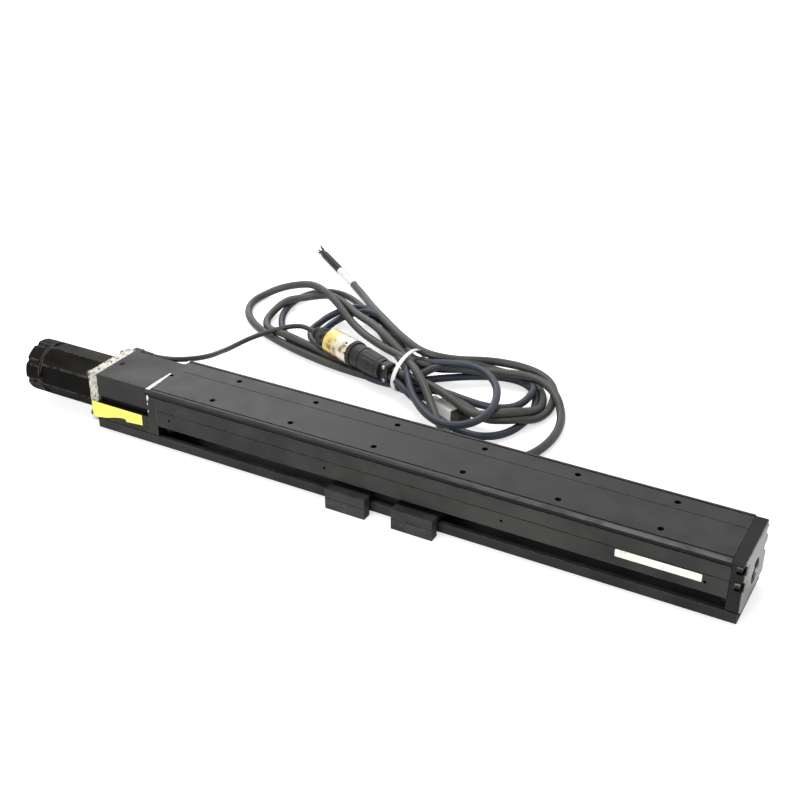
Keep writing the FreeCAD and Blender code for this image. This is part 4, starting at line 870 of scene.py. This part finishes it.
# %% Thin sheets
FRONT_WALL = -39.0
HOOD_TOP = 72.0
TO_FRONT = (0, -1, 0)
TO_TOP = (0, 0, 1)


def on_front(along, up):
    return Vector((along, FRONT_WALL, up)) * MM


def on_top(along, across):
    return Vector((along, across, HOOD_TOP)) * MM


def add_piece(name, shape, finish, body):
    bmesh.ops.recalc_face_normals(shape, faces=shape.faces)
    mesh = bpy.data.meshes.new(name)
    shape.to_mesh(mesh)
    shape.free()
    mesh.materials.append(finish)
    made = add_object(name, mesh)
    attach(made, body)
    return made


def thicken(shape, outwards, thickness):
    raised = bmesh.ops.extrude_face_region(shape, geom=list(shape.faces))["geom"]
    moved = [v for v in raised if isinstance(v, bmesh.types.BMVert)]
    bmesh.ops.translate(shape, verts=moved, vec=Vector(outwards) * thickness * MM)


def thin_sheet(name, outline, plane, outwards, thickness, finish):
    shape = bmesh.new()
    shape.faces.new([shape.verts.new(plane(*point)) for point in outline])
    thicken(shape, outwards, thickness)
    add_piece(name, shape, finish, "base")


def rounded_outline(left, right, low, high, radius, steps=5):
    points = []
    middles = ((right - radius, high - radius), (left + radius, high - radius),
               (left + radius, low + radius), (right - radius, low + radius))
    for quarter, (x, y) in enumerate(middles):
        for step in range(steps):
            angle = (quarter + step / (steps - 1)) * pi / 2
            points.append((x + radius * cos(angle), y + radius * sin(angle)))
    return points


print("sheet helpers ready")

# %% Yellow tape
TAPE_UPPER = [(-247.4, 36.0), (-317.0, 36.0), (-323.4, 35.6)]
TAPE_LOWER = [
    (-247.2, 23.4), (-256, 22.7), (-264, 21.9), (-270.5, 21.5), (-271.5, 24.6), (-280, 24.1),
    (-288, 22.2), (-297, 19.4), (-306, 17.6), (-317, 15.9), (-323.4, 15.2),
]
TAPE_CORNER = -317.0
TAPE_COLUMNS = 77
TAPE_THICKNESS = 0.25
TORN_BY = 0.25
CORNER_SLOPE = 0.75
tape_yellow = make_finish(
    "yellow vinyl tape", ((0.88, 0.86, 0.09), (0.96, 0.945, 0.17)), (0.36, 0.50), grain=1.5, depth=0.15,
    dust_and_top_light=0.2, dust_and_top_light_colour=(0.45, 0.42, 0.2), scratch=((0.95, 0.94, 0.6), 0.5))
mottle(tape_yellow, scale=120.0, detail=3.0, cut=(0.70, 0.74), colour=(0.32, 0.29, 0.08))
dice = random.Random(7)


def level_at(line, x):
    for (x0, z0), (x1, z1) in zip(line, line[1:]):
        if x1 <= x <= x0:
            return z0 + (z1 - z0) * (x - x0) / (x1 - x0)
    return line[-1][1]


tape_shape = bmesh.new()
columns = []
for step in range(TAPE_COLUMNS):
    x = TAPE_UPPER[0][0] - step
    y = FRONT_WALL + CORNER_SLOPE * max(0.0, TAPE_CORNER - x)
    ends = (level_at(TAPE_UPPER, x), level_at(TAPE_LOWER, x) + dice.uniform(-TORN_BY, TORN_BY))
    columns.append([tape_shape.verts.new(Vector((x, y, z)) * MM) for z in ends])
for left, right in zip(columns, columns[1:]):
    tape_shape.faces.new((left[0], left[1], right[1], right[0]))
thicken(tape_shape, TO_FRONT, TAPE_THICKNESS)
add_piece("yellow_tape", tape_shape, tape_yellow, "base")
print("tape columns:", len(columns))

# %% Blank label
LABEL_THICKNESS = 0.15
label_cream = make_finish(
    "aged paper label", ((0.80, 0.77, 0.64), (0.95, 0.93, 0.85)), (0.45, 0.62), grain=0.4, depth=0.03,
    scratch=((0.45, 0.42, 0.36), 0.6))
mottle(label_cream, scale=260.0, detail=4.0, cut=(0.62, 0.72), colour=(0.40, 0.36, 0.25), most=0.7)
label_outline = rounded_outline(left=306, right=388, low=38.2, high=46.2, radius=0.8)
thin_sheet("blank_label", label_outline, on_front, TO_FRONT, LABEL_THICKNESS, label_cream)
print("label 82 x 8 mm, left blank")

# %% White patches
TOP_PATCHES = {
    "joint_strip": [(-237.9, -38.8), (-233.0, -38.8), (-233.6, -18.0), (-235.2, 3.0), (-237.4, 3.5),
                    (-237.7, -18.0)],
    "joint_chip_back": [(-237.6, 30.5), (-236.2, 29.0), (-234.6, 34.0), (-235.8, 38.2), (-237.6, 37.0)],
}
FRONT_PATCHES = {
    "joint_chip_high": [(-237.8, 58.5), (-236.4, 57.0), (-235.0, 61.0), (-235.4, 64.8), (-237.6, 65.0)],
    "joint_chip_middle": [(-237.8, 52.4), (-236.9, 51.6), (-236.6, 53.8), (-237.5, 55.2)],
    "joint_chip_low": [(-237.7, 42.5), (-236.6, 43.4), (-236.9, 45.4), (-237.6, 45.8)],
}
# White patches at the housing joint: a white strip on top and small white chips.
white_patch = make_finish(
    "white joint patches", ((0.62, 0.62, 0.60), (0.86, 0.86, 0.84)), (0.40, 0.60), metal=0.2, depth=0.08)


def ragged(corners, count, jitter):
    points = []
    for (x0, y0), (x1, y1) in zip(corners, corners[1:] + corners[:1]):
        for step in range(count):
            share = step / count
            x = x0 + (x1 - x0) * share + dice.uniform(-jitter, jitter)
            y = y0 + (y1 - y0) * share + dice.uniform(-jitter, jitter)
            points.append((x, y))
    return points


for name, corners in TOP_PATCHES.items():
    outline = ragged(corners, count=5, jitter=0.25)
    thin_sheet(name, outline, on_top, TO_TOP, 0.12, white_patch)
for name, corners in FRONT_PATCHES.items():
    outline = ragged(corners, count=3, jitter=0.15)
    thin_sheet(name, outline, on_front, TO_FRONT, 0.10, white_patch)
print("white patches:", len(TOP_PATCHES) + len(FRONT_PATCHES))

# %% [markdown]
# ## Small fittings
# The connector has a ribbed grip band, bayonet pins and two clamp screws, and the white plug ends in a dark
# block of contacts. Round fittings are turned: a profile is swept round an axis, and a radius that changes
# with the angle gives ribs or a hexagon socket. One helper makes them all, on any axis.


# %% Turned fittings
def turned(name, profile, place, axis, finish, body, steps):
    shape = bmesh.new()
    turn = Vector((1, 0, 0)).rotation_difference(Vector(axis)).to_matrix()
    rings = []
    for station, radius in profile:
        ring = []
        for step in range(steps):
            angle = 2 * pi * step / steps
            size = radius(angle) if callable(radius) else radius
            local = Vector((station, size * cos(angle), size * sin(angle))) * MM
            ring.append(shape.verts.new(turn @ local + Vector(place)))
        rings.append(ring)
    for first, second in zip(rings, rings[1:]):
        for step in range(steps):
            after = (step + 1) % steps
            shape.faces.new((first[step], first[after], second[after], second[step]))
    shape.faces.new(rings[0])
    shape.faces.new(rings[-1])
    add_piece(name, shape, finish, body)


def hexagon(size):
    return lambda angle: size / cos((angle + pi / 6) % (pi / 3) - pi / 6)


def ribbed(radius, depth, count):
    return lambda angle: radius - depth * (0.5 + 0.5 * cos(count * angle)) ** 2


def socket_head(name, place, axis, radius, height):
    profile = [(0, radius), (height * 0.8, radius), (height, radius * 0.88), (height, hexagon(radius * 0.52)),
               (height * 0.45, hexagon(radius * 0.50)), (height * 0.40, radius * 0.1)]
    turned(name, profile, place, axis, screw_bright, "base", steps=36)


print("turning helpers ready")

# %% Connector fittings
PIN_STATION = 38.0
PIN_OUT = 16.3
CLAMP_STATION = 108.5
CLAMP_SIDE = -6.9


def on_connector(along, across=0.0, up=0.0):
    return RING_START + (ring_axis * along + ring_side * across + Vector((0, 0, up))) * MM


def black_fitting(name, station, profile, steps):
    turned(name, profile, on_connector(station), ring_axis, moulded_black, "base", steps)


grip = ribbed(16.4, depth=0.7, count=36)
black_fitting("grip_band", 44.5, [(0, 15.2), (0.2, grip), (5.0, grip), (5.3, 14.9)], steps=144)
black_fitting("shell_collar", 62.0, [(0, 14.3), (0.3, 14.9), (2.2, 14.9), (2.5, 13.9)], steps=64)
for index, station in enumerate((-31.0, -27.5, -24.0)):
    low = 7.2 + index
    high = 8.4 + index
    rib = [(0, low), (0.5, high), (1.5, high), (2.0, low)]
    black_fitting(f"relief_rib_{index}", station, rib, steps=40)
nut_profile = [(0, hexagon(10.6)), (0.4, hexagon(11.2)), (7.6, hexagon(11.2)), (8, hexagon(10.6))]
black_fitting("receptacle_nut", -20.0, nut_profile, steps=48)
for index in range(3):
    angle = radians(118 + 120 * index)
    outwards = ring_side * cos(angle) + Vector((0, 0, sin(angle)))
    turned(f"bayonet_pin_{index}", [(0, 1.7), (0.35, 1.7), (0.5, 1.45), (0.45, 0.6)],
           on_connector(PIN_STATION) + outwards * PIN_OUT * MM, outwards, screw_black, "connector_ring",
           steps=20)
for name, up in (("upper", 8.6), ("lower", -8.6)):
    place = on_connector(CLAMP_STATION, CLAMP_SIDE, up)
    socket_head("clamp_screw_" + name, place, -ring_side, radius=2.4, height=1.9)
thick_end = ribbed(14.6, depth=0.5, count=16)
thin_end = ribbed(13.6, depth=0.5, count=16)
black_fitting("shell_ribs", 68.0, [(0, 13.0), (1.5, thick_end), (26.0, thin_end), (27.5, 11.5)], steps=132)
print("connector fittings made")

# %% Loose wire ends
WIRES = 5
TIP_BEYOND_CORD = 78.0
RING_OF_WIRES = 2.2
FAN_OUT = 0.22
tail_end = Vector(TAIL_ROUTE[-1])
tail_heading = (tail_end - Vector(TAIL_ROUTE[-2])).normalized()
tail_tip = tail_end + tail_heading * TIP_BEYOND_CORD
copper = make_finish(
    "tinned wire", ((0.10, 0.095, 0.085), (0.30, 0.28, 0.25)), (0.30, 0.45), metal=0.8, grain=0.3)
wire_black = make_finish(
    "wire sleeve", ((0.004, 0.004, 0.004), (0.014, 0.014, 0.0135)), (0.35, 0.5), grain=0.4)
for index in range(WIRES):
    angle = 2 * pi * index / WIRES + 0.4
    spread_out = Vector((-tail_heading.y * cos(angle), tail_heading.x * cos(angle), sin(angle)))
    start = tail_tip + spread_out * RING_OF_WIRES
    heading = (tail_heading + spread_out * FAN_OUT * (1 + index % 2)).normalized()
    reach = 8.0 + 2.5 * (index % 3)
    sleeve = [(-3, 1.2), (0, 1.35), (reach, 1.3), (reach + 0.4, 0.9)]
    bare_end = [(0, 0.7), (3.0, 0.7), (3.6, 0.3)]
    end = start + heading * reach
    turned(f"wire_sleeve_{index}", sleeve, start * MM, heading, wire_black, "base", steps=14)
    turned(f"wire_end_{index}", bare_end, end * MM, heading, copper, "base", steps=10)
print("wire ends:", WIRES)

# %% Screw sockets
SIDES = {"front": -1, "back": 1}
CAP_LEVELS = (62, 44)
FLANGE_LEVELS = {"14": 14.5, "64": 63.5}
COVER_STATIONS = {"m297": -297, "m232": -232, "418": 418}
# Each socket mark is a thin dark hexagon on a screw head: painted shade standing in for the hollow socket.
# The hood screw wears the same painted shade.
socket_shade = make_finish(
    "screw socket shadow", ((0.004, 0.004, 0.004), (0.012, 0.012, 0.012)), (0.5, 0.7), grain=0.3,
    depth=0.02, shine=0.1, on=("hood_screw",))


def socket_mark(name, place, axis, size):
    profile = [(0, hexagon(size)), (0.06, hexagon(size)), (0.12, hexagon(size * 0.9)), (0.08, size * 0.2)]
    turned(name, profile, Vector(place) * MM, axis, socket_shade, "base", steps=36)


for side, sign in SIDES.items():
    for level in CAP_LEVELS:
        socket_mark(f"cap_socket_{side}_{level}", (422, sign * 35, level), (1, 0, 0), size=2.1)
    for title, level in FLANGE_LEVELS.items():
        socket_mark(f"flange_socket_{side}_{title}", (-328.5, sign * 28.5, level), (-1, 0, 0), size=2.0)
    for title, station in COVER_STATIONS.items():
        socket_mark(f"cover_socket_{side}_{title}", (station, sign * 20, 2.2), (0, 0, -1), size=1.6)
socket_mark("hood_socket", (-303, 0, 68.7), (0, 0, 1), size=1.8)
print("screw sockets marked")

# %% Contact block of the white plug
PLUG_PLACE = Vector((-7.0, 198.0, 0.0)) * MM
PLUG_TURN = radians(-24)
BLOCK_SIZE = Vector((16, 18.6, 13.9))
BLOCK_MIDDLE = Vector((53.4, 0, 7.25))
BLOCK_ROUNDING = 0.6
PIN = {"segments": 10, "radius1": 0.75, "radius2": 0.55, "depth": 3.0, "cap_ends": True}
PIN_ROWS = (4.3, 9.9)
PIN_FACE = 62.0
PIN_STEP = 2.3
KEY_SIZE = Vector((15.0, 1.2, 0.8))
KEY_SIDE = 6.0
KEY_LEVEL = 14.3
contact_black = make_finish(
    "contact block", ((0.012, 0.010, 0.009), (0.040, 0.032, 0.026)), (0.36, 0.55), grain=0.4, depth=0.06)
block_shape = bmesh.new()
bmesh.ops.create_cube(block_shape, size=1.0)
bmesh.ops.scale(block_shape, vec=BLOCK_SIZE, verts=block_shape.verts)
bmesh.ops.bevel(block_shape, geom=list(block_shape.edges), offset=BLOCK_ROUNDING, segments=2, affect="EDGES")
bmesh.ops.translate(block_shape, vec=BLOCK_MIDDLE, verts=block_shape.verts)
for row in PIN_ROWS:
    for column in range(-3, 4):
        pin = bmesh.ops.create_cone(block_shape, **PIN)["verts"]
        bmesh.ops.rotate(block_shape, matrix=Matrix.Rotation(pi / 2, 3, "Y"), verts=pin)
        bmesh.ops.translate(block_shape, vec=Vector((PIN_FACE, column * PIN_STEP, row)), verts=pin)
for sign in SIDES.values():
    key = bmesh.ops.create_cube(block_shape, size=1.0)["verts"]
    bmesh.ops.scale(block_shape, vec=KEY_SIZE, verts=key)
    bmesh.ops.translate(block_shape, vec=Vector((BLOCK_MIDDLE.x, sign * KEY_SIDE, KEY_LEVEL)), verts=key)
to_plug = Matrix.Translation(PLUG_PLACE) @ Matrix.Rotation(PLUG_TURN, 4, "Z") @ Matrix.Scale(MM, 4)
block_shape.transform(to_plug)
plug_contacts = add_piece("plug_contacts", block_shape, contact_black, "base")
print("contacts:", len(plug_contacts.data.polygons), "faces")
